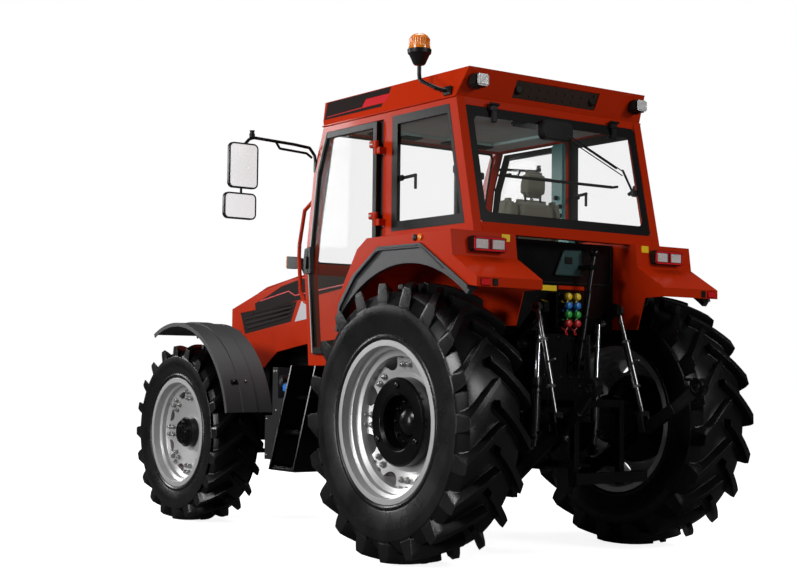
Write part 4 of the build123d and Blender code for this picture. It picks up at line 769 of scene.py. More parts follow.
for side, _ in sides:
    for y, reach, x, z, width in catch_blocks:
        block(fittings, from_axle(x[0], side * y - reach[0], z[0]), from_axle(x[1], side * y + reach[1], z[1]), width)
    for start, end, radius, width in handle_bars:
        start, end = (from_axle(x, side * y, z) for x, y, z in (start, end))
        rod(fittings, start, end, radius, 12, width)
ride("window_fittings", fittings, moulded_black)

motor_case, motor_depth, motor_x = arc_corners(-0.10, 0.140, 2.445, 2.562, 0.035), 0.055, -0.196
wiper_y = -0.075
wiper = bmesh.new()
prism(wiper, [from_axle(motor_x, y, z) for y, z in motor_case], (-motor_depth, 0, 0), 0.006)
rod(wiper, from_axle(-0.255, wiper_y, 2.475), from_axle(-0.20, wiper_y, 2.475), 0.018, 16, 0.003)
for dy, dz in ((0.0, 0.0), (0.010, -0.024)):
    rod(wiper, from_axle(-0.252, wiper_y + dy, 2.478 + dz), from_axle(-0.268, -0.500 + dy, 2.302 + dz), 0.0035, 8)
rod(wiper, from_axle(-0.256, -0.175, 2.430), from_axle(-0.268, -0.440, 2.318), 0.0065, 8)
ride("rear_wiper", wiper, moulded_black)

# ---- Doors ----
# A pane in a slim black frame, with a pale sealing edge along its front, two red hinges and a black latch.
dress(moulded_black, "door_left", "door_right")
seal_grey = surface("door_seal", (0.42, 0.42, 0.40), 0.45, (10.0, 0.15), (400.0, 0.0001), 0.001, 0.1)
door_edge = ((1.136, 2.583), (1.236, 2.340), (1.330, 1.720), (1.270, 1.180))
door_face, edge_thick = 0.7655, 0.0025
red_edge, pale_edge = (-0.009, 0.020), (-0.024, 0.009)    # shift from the door's front edge, and width
hinges_z, leaf_y, leaf_x, leaf_thick = (1.985, 2.420), 0.7875, (0.556, 0.600), 0.012
barrel_at, leaf_screws_x = (0.545, 0.779), (0.572, 0.588)


def cased(bm, side, x, y, z, thick, width):
    """Block on one side, by its ends along and up, its middle across and its thickness."""
    block(bm, from_axle(x[0], side * y - thick / 2, z[0]), from_axle(x[1], side * y + thick / 2, z[1]), width)


for side, hand_name in sides:
    body = f"door_{hand_name}"
    edge, seal, hinge, latch, heads = (bmesh.new() for _ in range(5))
    for (shift, wide), strip in ((red_edge, edge), (pale_edge, seal)):
        line_strip(strip, [(x + shift, z) for x, z in door_edge], wide, side, door_face, door_face + edge_thick)
    for z in hinges_z:
        cased(hinge, side, leaf_x, leaf_y, (z + 0.002, z + 0.042), leaf_thick, 0.003)
        barrel = from_axle(barrel_at[0], side * barrel_at[1], z - 0.001)
        turned(hinge, ((0, 0.016), (0.044, 0.016)), barrel, (0, 0, 1), 20)
        for x in leaf_screws_x:
            round_screw(heads, from_axle(x, side * (leaf_y + leaf_thick / 2), z + 0.022), (0, side, 0))
    cased(latch, side, (1.262, 1.312), 0.777, (1.690, 1.850), 0.036, 0.012)
    cased(latch, side, (1.272, 1.302), 0.800, (1.720, 1.800), 0.008, 0.004)
    ride(f"door_red_edge_{hand_name}", edge, red_paint, body)
    ride(f"door_edge_{hand_name}", seal, seal_grey, body)
    ride(f"door_hinges_{hand_name}", hinge, red_paint, body)
    ride(f"door_latch_{hand_name}", latch, moulded_black, body)
    ride(f"door_hinge_screws_{hand_name}", heads, zinc, body)

# ---- Roof ----
# Pressed red roof with a dark band on each side, a vent panel let into its rear face, and a fresh air grid in front.
skirt_low, skirt_high, skirt_out, skirt_in = 2.675, 2.800, 0.727, 0.700
dark_print = ((1.205, 2.796), (0.504, 2.796), (0.512, 2.755), (0.760, 2.755), (0.790, 2.700), (0.562, 2.700),
              (0.568, 2.680), (1.200, 2.680))
bright_print = ((0.757, 2.752), (0.500, 2.752), (0.536, 2.703), (0.785, 2.703))
bright_line = ((0.790, 2.706), (0.792, 2.700), (1.175, 2.694), (1.175, 2.698))
vent_low, vent_high, vent_x, vent_lean, vent_half, vent_thick = 2.674, 2.766, -0.1752, 0.0484, 0.328, 0.0026
slots, slot_pitch, slots_z, first_slot = 7, 0.067, (2.700, 2.738), -0.205
vent_lamp_y, vent_lamp_z = 0.295, 2.722
roof_top, hatch_thick = 2.7995, 0.0125


def roof_print(bm, outline, side, proud):
    """Thin print on the roof's leaning side."""
    def skirt(z):
        return skirt_out - (z - skirt_low) * (skirt_out - skirt_in) / (skirt_high - skirt_low)

    rings = [[from_axle(x, side * (skirt(z) + off), z) for x, z in outline] for off in (proud, 0.0002)]
    lofted(bm, [[bm.verts.new(p) for p in ring] for ring in rings])


for side, hand_name in sides:
    dark, bright = bmesh.new(), bmesh.new()
    roof_print(dark, dark_print, side, 0.0008)
    roof_print(bright, bright_print, side, 0.0008)
    roof_print(bright, bright_line, side, 0.0012)
    ride(f"roof_band_{hand_name}", dark, band_black)
    ride(f"roof_line_{hand_name}", bright, band_red)

vent_back = surface("vent_panel", (0.030, 0.014, 0.009), 0.45, (6.0, 0.2), (500.0, 0.0001), 0.002, 0.1)
panel = bmesh.new()
vent_section = ((vent_x, vent_low), (vent_x - vent_lean, vent_high), (vent_x - vent_lean - vent_thick, vent_high),
                (vent_x - vent_thick, vent_low))
prism(panel, [from_axle(x, -vent_half, z) for x, z in vent_section], (0, 2 * vent_half, 0), 0.0006)
ride("roof_vent_panel", panel, vent_back)
# The vent's slots are near-black blocks on the panel: painted shade in the openings.
slot_cut = bmesh.new()
for z in slots_z:
    x = vent_x - vent_thick - (z - vent_low) * vent_lean / (vent_high - vent_low)
    low, high = from_axle(x - 0.0022, first_slot, z - 0.011), from_axle(x + 0.002, first_slot + 0.008, z + 0.011)
    block(slot_cut, low, high, 0.001)
copies(slot_cut, "roof_vent_slots", shade, slots, step=(0, slot_pitch, 0), slot="dark_plastic")
vent_lamp = ((0, 0.030), (0.016, 0.028), (0.022, 0.020), (0.022, 0.004))
ends = bmesh.new()
for side, _ in sides:
    y = side * vent_lamp_y
    turned(ends, vent_lamp, from_axle(-0.192, y, vent_lamp_z), (-1, 0, 0), 20)
    rod(ends, from_axle(-0.19, y, vent_lamp_z + 0.03), from_axle(-0.223, y, vent_lamp_z + 0.03), 0.006, 10, 0.001)
ride("roof_vent_lamps", ends, moulded_black)
hatch = bmesh.new()
block(hatch, from_axle(0.10, -0.42, roof_top), from_axle(0.95, 0.42, roof_top + hatch_thick), 0.006)
for x in (0.02, 1.02):
    for y in (-0.56, 0.56):
        turned(hatch, ((0, 0.014), (0.012, 0.013), (0.018, 0.008)), from_axle(x, y, roof_top), (0, 0, 1), 14)
ride("roof_hatch", hatch, red_paint)

# ---- Inside the cab ----
# Grey-green headliner with dark air vents, moulded consoles with a row of levers, a thin black wheel, a dark green
# trim on the right middle pillar with its knobs, and a bar across the window behind the seat.
lining = surface("headliner_felt", (0.64, 0.92, 0.88), 0.85, (12.0, 0.12), (900.0, 0.0004), 0.006, 0.05)
dress(lining, "headliner")
trim_green = surface("trim_green", (0.07, 0.25, 0.24), 0.40, (6.0, 0.12), (500.0, 0.0002), 0.004, 0.12)
dress(moulded_black, "steering_wheel")
vents_at = [(-0.02, y) for y in (-0.42, 0.42)] + [(1.01, y) for y in (-0.42, 0.42, -0.18, 0.18)]
vent_half_x, vent_half_y, vanes, vane_pitch = 0.055, 0.075, 5, 0.026
lining_z, bar_x, bar_z = 2.604, -0.190, 2.211
trim_face, post_face = -0.672, -0.640
post_knobs = ((0.45, 2.16), (0.45, 2.10), (0.49, 2.22), (0.49, 2.04))
red_levers = (0.140, -0.400, 1.700), (0.440, -0.360, 1.760)
black_levers = (0.240, -0.400, 1.690), (0.340, -0.400, 1.700)
lever_knob = ((-0.026, 0.012), (-0.012, 0.0225), (0.006, 0.0235), (0.022, 0.014))
vents, trims, knobs, reds = (bmesh.new() for _ in range(4))
for x, y in vents_at:
    block(vents, from_axle(x - vent_half_x, y - vent_half_y, lining_z - 0.012),
          from_axle(x + vent_half_x, y + vent_half_y, lining_z), 0.006)
    for k in range(vanes):
        vane = y - 0.060 + vane_pitch * k
        block(vents, from_axle(x - 0.042, vane, lining_z - 0.016), from_axle(x + 0.042, vane + 0.008, lining_z - 0.010),
              0.001)
block(vents, from_axle(-0.07, -0.10, 2.565), from_axle(0.10, 0.10, lining_z - 0.001), 0.012)
rod(vents, from_axle(bar_x, -0.480, bar_z + 0.002), from_axle(bar_x, 0.390, bar_z - 0.002), 0.009, 12, 0.002)
for y in (-0.474, 0.384):
    rod(vents, from_axle(bar_x, y, bar_z), from_axle(bar_x - 0.055, y, bar_z), 0.008, 12, 0.002)
ride("cab_vents", vents, moulded_black)
block(trims, from_axle(0.425, trim_face, 1.90), from_axle(0.550, post_face, 2.58), 0.012)
post_foot = ((0.30, 1.88), (0.62, 1.88), (0.55, 2.02), (0.42, 2.02))
prism(trims, [from_axle(x, trim_face, z) for x, z in post_foot], (0, 0.05, 0), 0.01)
ride("pillar_trim", trims, trim_green)
for x, z in post_knobs:
    turned(knobs, ((0, 0.016), (0.016, 0.014), (0.020, 0.010)), from_axle(x, post_face + 0.001, z), (0, 1, 0), 14)
for places, heads in ((red_levers, reds), (black_levers, knobs)):
    for place in places:
        turned(heads, lever_knob, from_axle(*place), (0.1, 0, 1), 18)
for x in (0.12, 0.24, 0.36):
    block(knobs, from_axle(x - 0.03, -0.425, 1.50), from_axle(x + 0.035, -0.375, 1.535 + 0.1 * x), 0.006)
ride("control_knobs", knobs, moulded_black)
knob_red = surface("knob_red", (0.55, 0.02, 0.015), 0.25, (30.0, 0.1), (300.0, 0.0001), 0.001, 0.08)
ride("red_knobs", reds, knob_red)
dials = bmesh.new()
dash_x, dash_z, dash_lean = 1.150, 1.6315, (-0.83, 0, 0.56)
for y, radius in ((-0.095, 0.048), (0.0, 0.035), (0.095, 0.048)):
    dial = ((0, radius), (0.006, radius), (0.007, radius - 0.006), (0.003, radius - 0.008), (0.003, 0.004),
            (0.008, 0.003))
    turned(dials, dial, from_axle(dash_x, y, dash_z), dash_lean, 24)
ride("dash_dials", dials, band_black)
pads = bmesh.new()
arm_rest_y, arm_rest_half = 0.39, 0.045
for side, _ in sides:
    y = side * arm_rest_y
    block(pads, from_axle(0.08, y - arm_rest_half, 1.520), from_axle(0.36, y + arm_rest_half, 1.575), 0.018)
ride("arm_pads", pads, mount_rubber)
pedals = bmesh.new()
pedal_x = 1.02
for y in (-0.16, -0.07, 0.14):
    rod(pedals, from_axle(pedal_x, y, 1.28), from_axle(pedal_x + 0.09, y, 1.48), 0.008, 10)
    block(pedals, from_axle(pedal_x - 0.035, y - 0.035, 1.255), from_axle(pedal_x + 0.012, y + 0.035, 1.268), 0.003)
ride("pedals", pedals, black_paint)


# ---- Seat ----
# Sprung driver's seat in dark grey-brown cloth: a cushion and a back whose side pads stand proud of the middle, a
# separate head pad, and sewn lines across. It stands on a rubber bellows.
def weave(name, colour):
    """Cloth: fine crossing threads in the bump, a colour that clouds, and a soft sheen."""
    material = surface(name, colour, 0.9, (14.0, 0.16), (1400.0, 0.0004), 0.0, 0.04,
                       Sheen_Weight=0.25, Sheen_Roughness=0.5)
    tree = material.node_tree
    place = Value(tree).node("ShaderNodeTexCoord", output="Object")
    height = 0.0
    for way in ("X", "Y", "Z"):
        threads = {"Vector": place, "Scale": 120.0}
        height = height + place.node("ShaderNodeTexWave", {"bands_direction": way}, threads, "Fac")
    bump = place.node("ShaderNodeBump", inputs={"Height": height, "Strength": 0.5, "Distance": 0.0006})
    tree.links.new(bump.socket, tree.nodes["Principled BSDF"].inputs["Normal"])
    return material


cloth = weave("seat_cloth", (0.17, 0.165, 0.125))
grid, pressure, last_frame = 0.0075, 4.0, 20      # size of the cover's mesh, and how it is blown up


def stuffed(name, bm, cap, replaces=()):
    """Cushion: its cover is blown up a little by pressure, and no point moves further than cap."""
    made = ride(name, bm, cloth, replaces=replaces, sharp=180)
    scene = bpy.context.scene
    for modifier, settings in (("REMESH", {"mode": "VOXEL", "voxel_size": grid, "use_smooth_shade": True}),
                               ("SMOOTH", {"factor": 0.6, "iterations": 4})):
        step = made.modifiers.new("shape", modifier)
        for key, setting in settings.items():
            setattr(step, key, setting)
    skin = bpy.data.meshes.new_from_object(made.evaluated_get(bpy.context.evaluated_depsgraph_get()))
    made.modifiers.clear()
    made.data = skin
    start = [v.co.copy() for v in skin.vertices]
    step = made.modifiers.new("cloth", "CLOTH")
    step.settings.use_pressure, step.settings.uniform_pressure_force = True, pressure
    step.settings.effector_weights.gravity = 0.0
    step.point_cache.frame_start, step.point_cache.frame_end = 1, last_frame
    for moment in range(1, last_frame + 1):
        scene.frame_set(moment)
    blown = bpy.data.meshes.new_from_object(made.evaluated_get(bpy.context.evaluated_depsgraph_get()))
    made.modifiers.clear()
    for vertex, old in zip(blown.vertices, start):
        move = vertex.co - old
        if move.length > cap:
            vertex.co = old + move.normalized() * cap
    made.data = blown
    scene.frame_set(1)
    step = made.modifiers.new("finer", "SUBSURF")
    step.levels = step.render_levels = 1
    finer = bpy.data.meshes.new_from_object(made.evaluated_get(bpy.context.evaluated_depsgraph_get()))
    made.modifiers.clear()
    made.data = finer
    made.data.materials.clear()
    made.data.materials.append(cloth)
    return made


def leaning(bm, corners, y0, y1):
    """Pad on a side outline, with the round edges of foam."""
    prism(bm, [from_axle(x, y0, z) for x, z in corners], (0, y1 - y0, 0), 0.026)


seat_half, pad_seam, pad_lap, pad_rise, back_share = 0.236, 0.150, 0.002, 0.022, 0.96
puff, head_puff = 0.012, 0.010
cushion, back, head = bmesh.new(), bmesh.new(), bmesh.new()
for y0, y1, rise in ((-seat_half, pad_lap - pad_seam, pad_rise), (-pad_seam, pad_seam, 0.0),
                     (pad_seam - pad_lap, seat_half, pad_rise)):
    leaning(cushion, ((0.034, 1.508), (0.486, 1.508), (0.486, 1.578 + rise), (0.034, 1.566 + rise)), y0, y1)
    leaning(back, ((0.030, 1.604), (0.112 + rise, 1.604), (0.050 + rise, 2.126), (-0.030, 2.126)),
            y0 * back_share, y1 * back_share)
leaning(head, ((-0.030, 2.122), (0.044, 2.122), (0.018, 2.290), (-0.038, 2.290)), -0.096, 0.096)
stuffed("seat_cushion", cushion, puff, ("seat",))
stuffed("seat_back", back, puff)
stuffed("seat_head_pad", head, head_puff)
folds, fold_pitch, fold_depth = 7, 0.022, 0.008
base = bmesh.new()
for k in range(folds):
    inset = fold_depth * (k % 2)
    block(base, from_axle(0.105 + inset, -0.145 + inset, 1.336 + fold_pitch * k),
          from_axle(0.395 - inset, 0.145 - inset, 1.359 + fold_pitch * k), 0.006)
block(base, from_axle(0.06, -0.205, 1.490), from_axle(0.46, 0.205, 1.506), 0.004)
for y in (-0.06, 0.06):
    rod(base, from_axle(0.0, y, 2.10), from_axle(-0.004, y, 2.18), 0.007, 10)
ride("seat_bellows", base, mount_rubber)

# ---- Rear fenders ----
# Folded sheet fenders in the cab's red, with dark trims over the wheel arches.
trim_plastic = surface("arch_plastic", (0.030, 0.030, 0.033), 0.42, (6.0, 0.15), (600.0, 0.0002), 0.004, 0.12)
dress(trim_plastic, "arch_trims")
trim_out, rib_out, rib_thick, rib_height = 0.938, 0.9525, 0.004, 0.006
ribs = (((-0.350, 1.640), (-0.140, 1.775)), ((-0.110, 1.7795), (0.255, 1.7825)), ((0.290, 1.766), (0.500, 1.632)))
arch_line = ((-0.560, 1.515), (-0.365, 1.620), (-0.127, 1.765), (0.268, 1.768), (0.515, 1.615), (0.656, 1.455),
             (0.684, 1.305))
arch_middle, arch_radius, lip_width, steps_per_length = (0.02, 0.79), 0.893, 0.036, 6
trim_ribs, flares = bmesh.new(), bmesh.new()
for side, _ in sides:
    for (x0, z0), (x1, z1) in ribs:
        rib = ((x0, z0), (x1, z1), (x1 + 0.001, z1 - rib_height), (x0 + 0.001, z0 - rib_height))
        side_plate(trim_ribs, rib, side, rib_out, rib_out + rib_thick, 0.001)
    outer, inner = [], []
    for (x0, z0), (x1, z1) in zip(arch_line, arch_line[1:]):
        for k in range(steps_per_length):
            x, z = x0 + (x1 - x0) * k / steps_per_length, z0 + (z1 - z0) * k / steps_per_length
            reach = math.dist((x, z), arch_middle)
            share = min(reach - 0.006, arch_radius) / reach
            outer.append((x, z - 0.001))
            inner.append(tuple(c + (p - c) * share for c, p in zip(arch_middle, (x, z))))
    side_plate(flares, outer + inner[::-1], side, trim_out - lip_width, trim_out)
ride("arch_trim_ribs", trim_ribs, trim_plastic)
ride("arch_flares", flares, trim_plastic)

# ---- Lamps ----
# A black housing on each rear fender with a red border and two ribbed clear lenses parted by a dark strip, blank
# yellow plates beside them, reflectors on the lip below, square work lamps on the roof, and a position lamp on each
# side of the bonnet.
signal_red = surface("signal_red", (0.70, 0.010, 0.016), 0.16, (30.0, 0.2), (120.0, 0.0006), 0.001, 0.05,
                     Specular_IOR_Level=0.6, Coat_Weight=0.5)
ribbed_white = surface("ribbed_lens", (0.90, 0.86, 0.85), 0.14, (60.0, 0.25), (90.0, 0.0012), 0.001, 0.06,
                       Specular_IOR_Level=0.6)
amber_lens = surface("amber_lens", (0.85, 0.22, 0.010), 0.12, (40.0, 0.2), (90.0, 0.0008), 0.001, 0.05,
                     Specular_IOR_Level=0.6, Coat_Weight=0.4)
plate_yellow = surface("plate_yellow", (0.90, 0.62, 0.01), 0.35, (20.0, 0.08), (500.0, 0.00005), 0.0, 0.06)


def upright(bm, side, x0, x1, y0, y1, z0, z1, width=0.002):
    """Block on one side of the tractor, with y0 and y1 measured from its middle."""
    low, high = sorted((side * y0, side * y1))
    block(bm, from_axle(x0, low, z0), from_axle(x1, high, z1), width)


tail_y, tail_z, tail_face, rim_wide = (0.590, 0.820), (1.7365, 1.8135), -0.4555, 0.010
tail_rims = [(*tail_y, tail_z[0], tail_z[0] + rim_wide), (*tail_y, tail_z[1] - rim_wide, tail_z[1]),
             (tail_y[0], tail_y[0] + 0.0105, *tail_z), (tail_y[1] - 0.0105, tail_y[1], *tail_z),
             (0.6925, 0.6985, tail_z[0] + rim_wide, tail_z[1] - rim_wide),
             (0.7115, 0.7175, tail_z[0] + rim_wide, tail_z[1] - rim_wide)]
lenses_y, lens_wide, lens_ribs, rib_pitch, rib_wide = (0.6025, 0.7195), 0.088, 10, 0.0084, 0.0062
lip_lamp_z = (1.534, 1.574)
# Side lamp's stations along its stalk: X, Z, width and height.
stalk_lamp = (((1.545, 1.775, 0.050, 0.060), (1.640, 1.785, 0.062, 0.078), (1.700, 1.789, 0.062, 0.084)),
              ((1.700, 1.789, 0.058, 0.080), (1.715, 1.790, 0.056, 0.076)))
stalk_lamp_y = 0.655
wall_face = -0.2005
wall_trims = ((-0.465, 0.465, 1.600, 1.612), (-0.465, 0.465, 1.834, 1.845), (-0.465, -0.452, 1.600, 1.845),
              (0.452, 0.465, 1.600, 1.845))           # round the opening in the cab's rear wall
housing, red_parts, clear_parts, lamp_glass, yellow, amber = (bmesh.new() for _ in range(6))
for side, _ in sides:
    upright(housing, side, -0.452, -0.402, tail_y[0] - 0.004, tail_y[1] + 0.004, 1.732, 1.818, 0.008)
    for y0, y1, z0, z1 in tail_rims:
        upright(red_parts, side, tail_face, -0.448, y0, y1, z0, z1, 0.0015)
    for y0 in lenses_y:
        upright(clear_parts, side, tail_face + 0.0025, -0.448, y0, y0 + lens_wide, 1.7480, 1.8020, 0.002)
        for k in range(lens_ribs):
            y = y0 + 0.003 + rib_pitch * k
            upright(clear_parts, side, tail_face, -0.4525, y, y + rib_wide, 1.7495, 1.8005, 0.0012)
    upright(yellow, side, -0.4035, -0.3965, 0.522, 0.578, 1.802, 1.842, 0.0008)
    upright(red_parts, side, -0.6325, -0.6265, 0.850, 0.915, *lip_lamp_z, 0.003)
    # A thin black block beside each lip reflector stands for a slot in the lip: painted shade.
    upright(housing, side, -0.6305, -0.6265, 0.795, 0.832, *lip_lamp_z, 0.002)
    upright(housing, side, -0.286, -0.205, 0.590, 0.678, 2.686, 2.760, 0.010)
    upright(lamp_glass, side, -0.301, -0.284, 0.593, 0.675, 2.689, 2.757, 0.008)
    upright(housing, side, -0.250, -0.215, 0.620, 0.648, 2.676, 2.692, 0.003)
    for x, lamp_part in ((-0.125, amber), (-0.075, housing)):
        turned(lamp_part, ((0.0, 0.019), (0.007, 0.018), (0.011, 0.010)), from_axle(x, side * 0.9405, 1.822),
               (0, side, 0), 18)
    for stations, lamp_part in zip(stalk_lamp, (housing, amber)):
        lofted(lamp_part, [[lamp_part.verts.new(from_axle(x, side * stalk_lamp_y + dy * wide / 2, z + dz * tall / 2))
                            for dy, dz in ((-1, -1), (1, -1), (1, 1), (-1, 1))] for x, z, wide, tall in stations])
    rod(housing, from_axle(1.410, side * 0.705, 1.665), from_axle(1.560, side * 0.660, 1.762), 0.009, 12)
upright(yellow, 1, -0.2065, -0.2035, -0.012, 0.108, 1.556, 1.588, 0.0008)
wall_red, pan = bmesh.new(), bmesh.new()
upright(wall_red, 1, -0.2110, -0.2020, -0.230, -0.020, 1.566, 1.590, 0.002)
ride("wall_strip", wall_red, red_paint)
pan_outline = ((0.012, 1.650), (-0.215, 1.650), (-0.200, 1.805), (-0.060, 1.800))
prism(pan, [from_axle(wall_face - 0.0005, y, z) for y, z in pan_outline], (-0.020, 0, 0), 0.004)
pan_green = surface("pan_green", (0.018, 0.060, 0.058), 0.35, (9.0, 0.25), (500.0, 0.0001), 0.003, 0.12)
ride("wall_pan", pan, pan_green)
upright(housing, 1, -0.2260, -0.2215, -0.120, -0.060, 1.720, 1.760, 0.002)
for y0, y1, z0, z1 in wall_trims:
    upright(housing, 1, wall_face - 0.0075, wall_face, y0, y1, z0, z1, 0.003)
ride("lamp_housings", housing, moulded_black, replaces=("lamps",))
ride("lamp_red_parts", red_parts, signal_red)
ride("lamp_clear_parts", clear_parts, ribbed_white)
faceted = surface("work_lamp_lens", (0.88, 0.89, 0.90), 0.12, (60.0, 0.55), (70.0, 0.004), 0.001, 0.06,
                  Specular_IOR_Level=0.8)
ride("work_lamp_lenses", lamp_glass, faceted)
ride("side_lamps_amber", amber, amber_lens)
ride("yellow_plates", yellow, plate_yellow)

# ---- Mirrors and beacon ----
# Two black mirrors hang one above the other from a doubled tube on each front pillar; their glass glows faintly, a
# painted reflection. An amber dome on a black cup stands on a cranked black tube beside the roof.
# The glass glows faintly white though it is no lamp: a painted reflection of the bright room.
glowing_mirror_face = surface("glowing_mirror_face", (0.93, 0.94, 0.95), 0.08, (2.0, 0.03), (40.0, 0.0), 0.0, 0.02,
                      Emission_Color=(1, 1, 1, 1), Emission_Strength=0.45)
upper_tube = ((1.265, 0.747, 2.380), (1.278, 0.747, 2.455), (1.290, 0.780, 2.505), (1.296, 0.900, 2.517),
              (1.300, 1.190, 2.530), (1.312, 1.216, 2.520), (1.324, 1.240, 2.488))
lower_tube = ((1.282, 0.765, 2.440), (1.294, 0.800, 2.468), (1.298, 1.000, 2.480), (1.299, 1.030, 2.522))
link_tube = ((1.326, 1.262, 2.17), (1.326, 1.262, 2.21))
mirror_sizes = ((1.150, 1.360, 2.205, 2.492), (1.160, 1.390, 2.010, 2.176))    # Y and Z, low and high
mirror_corner, mirror_rim, corner_steps = 0.034, 0.010, 6
shell_x, glass_x, rim_x = (1.313, 1.332), (1.3085, 1.3135), (1.3075, 1.3140)


def tube(bm, path, radius, corners, side=1):
    """Bent round bar through points, on one side of the tractor."""
    points = [from_axle(x, side * y, z) for x, y, z in path]
    for start, end in zip(points, points[1:]):
        rod(bm, start, end, radius, corners)


arms, faces = bmesh.new(), bmesh.new()
for side, _ in sides:
    upright(arms, side, 1.250, 1.280, 0.7360, 0.757, 2.345, 2.415, 0.004)
    for path, radius, corners in ((upper_tube, 0.010, 14), (link_tube, 0.008, 12), (lower_tube, 0.008, 12)):
        tube(arms, path, radius, corners, side)
    turned(arms, ((0.0, 0.017), (0.018, 0.019), (0.030, 0.014), (0.044, 0.017)), from_axle(1.300, side * 1.204, 2.530),
           (0, 0, 1), 18)
    for y0, y1, z0, z1 in mirror_sizes:
        edge, inner_edge = (
            arc_corners(y0 + inset, y1 - inset, z0 + inset, z1 - inset, mirror_corner - inset, corner_steps)
            for inset in (0.0, mirror_rim))
        for outline, (x0, x1), part in ((edge, shell_x, arms), (inner_edge, glass_x, faces)):
            prism(part, [from_axle(x0, side * y, z) for y, z in outline], (x1 - x0, 0, 0))
        hollow_frame(arms, [[arms.verts.new(from_axle(x, side * y, z)) for y, z in outline]
                            for x in rim_x for outline in (edge, inner_edge)])
ride("mirror_arms_and_backs", arms, moulded_black, replaces=("mirrors",))
ride("mirror_faces", faces, glowing_mirror_face)

stem = ((-0.100, 0.739, 2.675), (-0.085, 0.765, 2.678), (-0.060, 0.790, 2.690), (0.060, 0.800, 2.745),
        (0.085, 0.800, 2.765), (0.090, 0.800, 2.790), (0.090, 0.800, 2.852))
cup = ((2.846, 0.0), (2.846, 0.030), (2.852, 0.036), (2.905, 0.060), (2.912, 0.068), (2.930, 0.0705), (2.936, 0.0705),
       (2.938, 0.062), (2.938, 0.0))
bell = ((2.937, 0.0), (2.937, 0.064), (2.950, 0.0635), (2.953, 0.060), (2.990, 0.058), (3.004, 0.055), (3.016, 0.047),
        (3.024, 0.035), (3.0285, 0.018), (3.0295, 0.0))
dome_ribs, dome_rib_radius, dome_ribs_z = 24, 0.0585, (2.952, 3.000)
stand, dome = bmesh.new(), bmesh.new()
tube(stand, stem, 0.012, 16)
upright(stand, 1, -0.135, -0.065, 0.733, 0.747, 2.650, 2.700, 0.003)
beacon_at = from_axle(*stem[-1][:2], 0)
turned(stand, cup, beacon_at, (0, 0, 1), 48)
turned(dome, bell, beacon_at, (0, 0, 1), 64)


def ribs_round(bm, centre, radius, count, heights, thick, corners):
    """Upright ribs on a round wall."""
    for k in range(count):
        turn = 2 * math.pi * k / count
        spot = centre + Vector((math.cos(turn), math.sin(turn), 0)) * radius
        rod(bm, spot + Vector((0, 0, heights[0])), spot + Vector((0, 0, heights[1])), thick, corners)


ribs_round(dome, beacon_at, dome_rib_radius, dome_ribs, dome_ribs_z, 0.0028, 8)
ride("beacon_stand", stand, moulded_black, replaces=("beacon",))
ride("beacon_dome", dome, amber_lens)

# ---- Steps, tank and exhaust ----
# Black treads with toothed grip edges, a dark moulded tank with a blue cap, a grey filter bowl and a round air
# cleaner above it, and an upright black silencer on the far side.
dress(black_paint, "steps", "exhaust")
tank_plastic = surface("tank_plastic", (0.032, 0.032, 0.033), 0.40, (6.0, 0.2), (700.0, 0.00015), 0.003, 0.16)
dress(tank_plastic, "tank_and_battery_box")
treads, teeth_in_row, tooth_pitch, tooth_long = ((0.690, 0.895), (0.785, 0.670), (0.880, 0.440)), 12, 0.0232, 0.012
first_tooth_x, rows_inset, tooth_thick = 1.272, (0.008, 0.155), 0.006
teeth = bmesh.new()
for side, _ in sides:
    for y, z in treads:
        for k in range(teeth_in_row):
            x = first_tooth_x + tooth_pitch * k
            for inset in rows_inset:
                upright(teeth, side, x, x + tooth_long, y - inset - tooth_thick, y - inset, z - 0.001, z + 0.010, 0.001)
ride("step_teeth", teeth, black_paint)
cap_blue = surface("cap_blue", (0.03, 0.24, 0.80), 0.35, (20.0, 0.1), (400.0, 0.0002), 0.002, 0.1)
cap_profile = ((0.929, 0.0), (0.929, 0.0475), (0.972, 0.0470), (0.980, 0.044), (0.984, 0.030), (0.984, 0.0))
cap, filler = bmesh.new(), from_axle(1.625, 0.690, 0)
turned(cap, cap_profile, filler, (0, 0, 1), 36)
ribs_round(cap, filler, 0.0470, 18, (0.934, 0.970), 0.003, 6)
ride("filler_cap", cap, cap_blue)
filter_bowl = ((0.885, 0.0), (0.885, 0.042), (0.900, 0.048), (0.985, 0.048), (0.990, 0.052), (1.000, 0.052),
               (1.006, 0.048), (1.045, 0.046), (1.058, 0.036), (1.058, 0.0))
air_cleaner = ((0.0, 0.0), (0.0, 0.020), (0.010, 0.052), (0.018, 0.060), (0.120, 0.060), (0.126, 0.056), (0.126, 0.0))
tank_face, tank_screws_at = 0.7402, ((1.72, 1.06), (1.75, 1.06), (1.72, 0.80), (1.84, 0.74), (1.76, 0.50), (1.84, 0.50))
bowls, screws = bmesh.new(), bmesh.new()
turned(bowls, filter_bowl, from_axle(1.60, 0.560, 0), (0, 0, 1), 32)
turned(bowls, air_cleaner, from_axle(1.735, 0.735, 0.985), (0, -1, 0), 32)
for x, z in tank_screws_at:
    round_screw(screws, from_axle(x, tank_face, z), (0, 1, 0), ((0, 0.009), (0.003, 0.0085), (0.006, 0.004)))
ride("filter_bowls", bowls, moulded_black)
ride("tank_screws", screws, zinc)
silencer = from_axle(1.480, -0.600, 0)
guard_bars, guard_radius, guard_z, bar_half = 14, 0.060, (1.38, 1.98), 0.004
guard_open, guard_turn = math.radians(-25), math.radians(230)
guard_rings, ring_section = (1.38, 1.58, 1.78, 1.975), ((0, 0.0525), (0, 0.066), (0.012, 0.066), (0.012, 0.0525))
pipe_lip = ((2.730, 0.0305), (2.738, 0.0345), (2.7395, 0.0345), (2.7395, 0.0265), (2.700, 0.0265), (2.700, 0.0305))
guard = bmesh.new()
for k in range(guard_bars):
    turn = guard_open + guard_turn * k / (guard_bars - 1)
    spot = silencer + Vector((math.sin(turn), -math.cos(turn), 0)) * guard_radius
    low, high = Vector((-bar_half, -bar_half, guard_z[0])), Vector((bar_half, bar_half, guard_z[1]))
    block(guard, spot + low, spot + high, 0.001)
